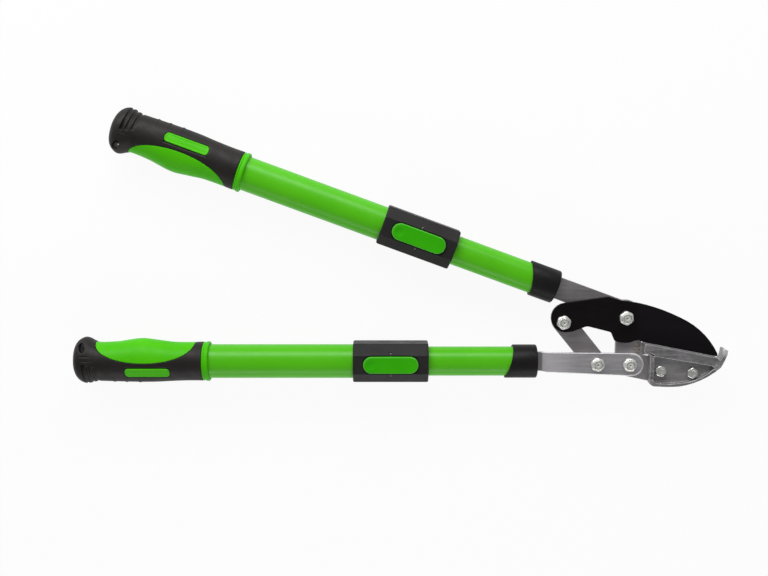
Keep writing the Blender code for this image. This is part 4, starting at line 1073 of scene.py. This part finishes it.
def makeAnvil():
    s = anvilSizes
    anvil = copyPlate("anvil", "hookedAnvil")

    def inHead(outline):
        return [(headX + x, headY + y) for x, y in outline]

    def onPocketRim(edge):
        if min(vertex.co.z for vertex in edge.verts) < s["top"] - 0.0003 or len(edge.link_faces) != 2:
            return False
        wall = min(edge.link_faces, key=lambda face: abs(face.normal.z))
        facing = abs(wall.normal.z) < 0.1 and wall.normal.y > 0.25
        return facing and edge.verts[0].co.y < headY - s["pocketStart"]

    openPiece(anvil)
    bpy.ops.mesh.normals_make_consistent(inside=False)
    bevelEdges(anvil, onPocketRim, s["pocketRim"], 3, clamp_overlap=True)
    closePiece()
    merge(anvil, slab("heel", inHead(s["heel"]), *s["heelHeights"]))
    over = s["top"] + past
    for word in ("step", "notch"):
        cutOut(anvil, slab(word, inHead(s[word]), s["top"] - s[word + "Depth"], over))
    x, y, inside, outside = s["mark"]
    low = s["top"] - s["markDepth"]
    rings = [(inside, low), (outside, low), (outside, over), (inside, over), (inside, low)]
    cutOut(anvil, upright("mark", rings, 48, (headX + x, headY + y, 0), False))
    # turned so that the sloping face lies along the grid of the skin, then turned back
    slope = math.radians(s["slope"])
    soften(lay(anvil, turn=(0, 0, slope)), s["grain"], 3)
    lay(anvil, turn=(0, 0, -slope))
    applyModifier(anvil, "DECIMATE", ratio=s["keep"])
    smooth(anvil, 60)
    finishPiece(anvil, castSteel, "upper_arm", "anvil")
    print("anvil made")


makeAnvil()


# bolts and nuts
boltSizes = {
    "flats": 0.013,
    "head": 0.0053,
    "radius": 0.004,
    "bore": 0.0042,
    "back": 0.0173,
    "front": 0.0348,
    "nutLow": 0.0271,
    "nutHeight": 0.008,
    "nutHex": 0.0058,
    "corner": 0.0070,
    # the nut's collar: radius and distance from its top
    "collar": ((0.0058, 0.0028), (0.0054, 0.0019), (0.0053, 0.0010), (0.0050, 0.0004), (0.0044, 0.0001)),
    "setIn": 0.0006,
    "thread": (0.00125, 0.0005, 0.00055),  # pitch, run-up and depth
    "threadEnd": 0.0022,
    "tip": ((0.0001, 0.0006), (0.0007, 0)),  # off the radius, and back from the end
    "dimpleRadius": 0.0011,
    "dimpleFloor": 0.0004,
    "dimple": 0.0020,
}
nutRound, boltRound = 0.00015, 0.00012
pivotPlaces = {  # body, spot and turn
    "blade_pivot": ("upper_arm", joints["blade_swing"]["pos_m"], 8),
    "bar_pivot": ("upper_arm", joints["handle_swing"]["pos_m"], 25),
    "link_blade": ("blade", joints["link_swing"]["pos_m"], 47),
    "link_bar": ("lower_arm", (0.1987, -0.11635), 14),
}


def hexagon(name, flats, low, high, chamfered, slope=0.55, flatShare=0.9):
    # a six-sided bar whose corners a cone has taken off at the ends named in chamfered
    corner = flats / math.sqrt(3)
    flat = flats / 2 * flatShare
    wide, clear = corner + 0.0002, corner + 0.001
    drop = (corner - flat) * slope
    bpy.ops.object.select_all(action="DESELECT")
    bpy.ops.mesh.primitive_cylinder_add(vertices=6, radius=corner, depth=high - low,
                                        location=(0, 0, (low + high) / 2))
    piece = settle(bpy.context.object, name)
    # the cone reaches past both ends, so that no faces coincide
    over = past / 2
    narrow = flat - over * (wide - flat) / drop
    rings = [(narrow, low - over), (wide, low + drop)] if "low" in chamfered else [(clear, low - over)]
    rings += [(wide, high - drop), (narrow, high + over)] if "high" in chamfered else [(clear, high + over)]
    merge(piece, upright("cone", rings, 72, twist=2.5), "INTERSECT")
    return piece


def placeCopy(shape, name, finish, body, node, x, y, turn):
    piece = lay(copyPiece(shape, name), (x, y, 0), (0, 0, math.radians(turn)))
    smooth(piece, 30)
    finishPiece(piece, finish, body, node)


def makePivotNut():
    s = boltSizes
    low, hexTop, top = s["nutLow"], s["nutLow"] + s["nutHex"], s["nutLow"] + s["nutHeight"]
    nut = hexagon("pivotNut", s["flats"], low, hexTop, ("low", "high"), 0.8, 0.82)
    barrel = upright("barrel", [(s["corner"], low - past), (s["corner"], hexTop + past)], 72)
    merge(nut, barrel, "INTERSECT")
    rings = [(radius, top - down) for radius, down in s["collar"]]
    merge(nut, upright("crown", [*rings, (s["bore"] - 0.0001, top)], 72))
    cutOut(nut, upright("hole", [(s["bore"], low - past), (s["bore"], top + past)], 48, twist=1))
    roundEdges(nut, nutRound, 25)
    return nut


def makePivotBolt():
    s = boltSizes
    back, radius = s["back"], s["radius"]
    end = s["front"] - s["setIn"]
    bolt = hexagon("pivotBolt", s["flats"], back - s["head"], back, ("low",))
    pitch, runUp, depth = s["thread"]
    rings = [(radius, back - 0.0005), (radius, s["nutLow"] + 0.0005)]
    where = s["nutLow"] + 0.001
    while where < s["front"] - s["threadEnd"]:
        rings += [(radius - depth, where), (radius, where + runUp)]
        where += pitch
    rings += [(radius - less, end - along) for less, along in s["tip"]]
    merge(bolt, upright("shank", rings, 48))
    rings = [(s["dimpleFloor"], end - s["dimple"]), (s["dimpleRadius"], end - 0.0006),
             (s["dimpleRadius"] + 0.0005, end + 0.0001)]
    cutOut(bolt, upright("dimple", rings, 32))
    roundEdges(bolt, boltRound, 40)
    return bolt


def makePivots():
    shapes = {"nut": makePivotNut(), "bolt": makePivotBolt()}
    for word, (body, spot, turn) in pivotPlaces.items():
        title = "".join(part.title() for part in word.split("_"))
        for kind, shape in shapes.items():
            placeCopy(shape, kind + title, paleZinc, body, f"{word}_{kind}", spot[0], spot[1], turn)
    for shape in shapes.values():
        bpy.data.objects.remove(shape, do_unlink=True)
    print("pivot bolts and nuts made")


makePivots()


# the anvil's two bolts
anvilBoltSizes = {
    "flats": 0.010,
    "seat": 0.0271,
    "head": 0.004,
    "radius": 0.003,
    "bore": 0.0031,
    "nutTop": 0.0172,
    "nutLow": 0.0122,
    "dish": (0.0026, 0.0034, 0.00025),  # radius at its floor and above the head, and depth
    "rear": (0.2624, -0.12335, 20),
    "front": (0.2942, -0.12525, 0),
}


def makeAnvilBolts():
    s = anvilBoltSizes
    seat, radius, low, high = s["seat"], s["radius"], s["nutLow"], s["nutTop"]
    top = seat + s["head"]
    bolt = hexagon("anvilBolt", s["flats"], seat, top, ("high",), 0.7)
    rings = [(radius - 0.0004, low - 0.0002), (radius, low + 0.0004), (radius, seat + 0.0004)]
    merge(bolt, upright("shank", rings, 36))
    inside, outside, depth = s["dish"]
    cutOut(bolt, upright("dish", [(inside, top - depth), (outside, top + 0.0004)], 48))
    roundEdges(bolt, boltRound, 25)
    nut = hexagon("anvilNut", s["flats"], low, high, ("low", "high"))
    cutOut(nut, upright("hole", [(s["bore"], low - past), (s["bore"], high + past)], 36))
    roundEdges(nut, nutRound, 25)
    for word in ("rear", "front"):
        for kind, shape in (("bolt", bolt), ("nut", nut)):
            name, node = f"{word}Anvil{kind.title()}", f"anvil_{word}_{kind}"
            placeCopy(shape, name, zinc, "upper_arm", node, *s[word])
    for shape in (bolt, nut):
        bpy.data.objects.remove(shape, do_unlink=True)
    print("anvil bolts made")


makeAnvilBolts()


# nodes of the frame that stay as they are, with a finish
keptFinishes = {
    "housing_screw": zinc,
    "lock_pin": groundSteel,
    "lock_spring": groundSteel,
    "tang_rivet_front": groundSteel,
    "tang_rivet_rear": groundSteel,
    "bar_insert": innerPlastic,
    "tail_bush": innerPlastic,
}
for word in ("upper", "lower"):
    for node, finish in keptFinishes.items():
        kept = frame["nodes"][f"{word}_{node}"]
        kept.data.materials.clear()
        kept.data.materials.append(finish)
print("frame nodes finished")
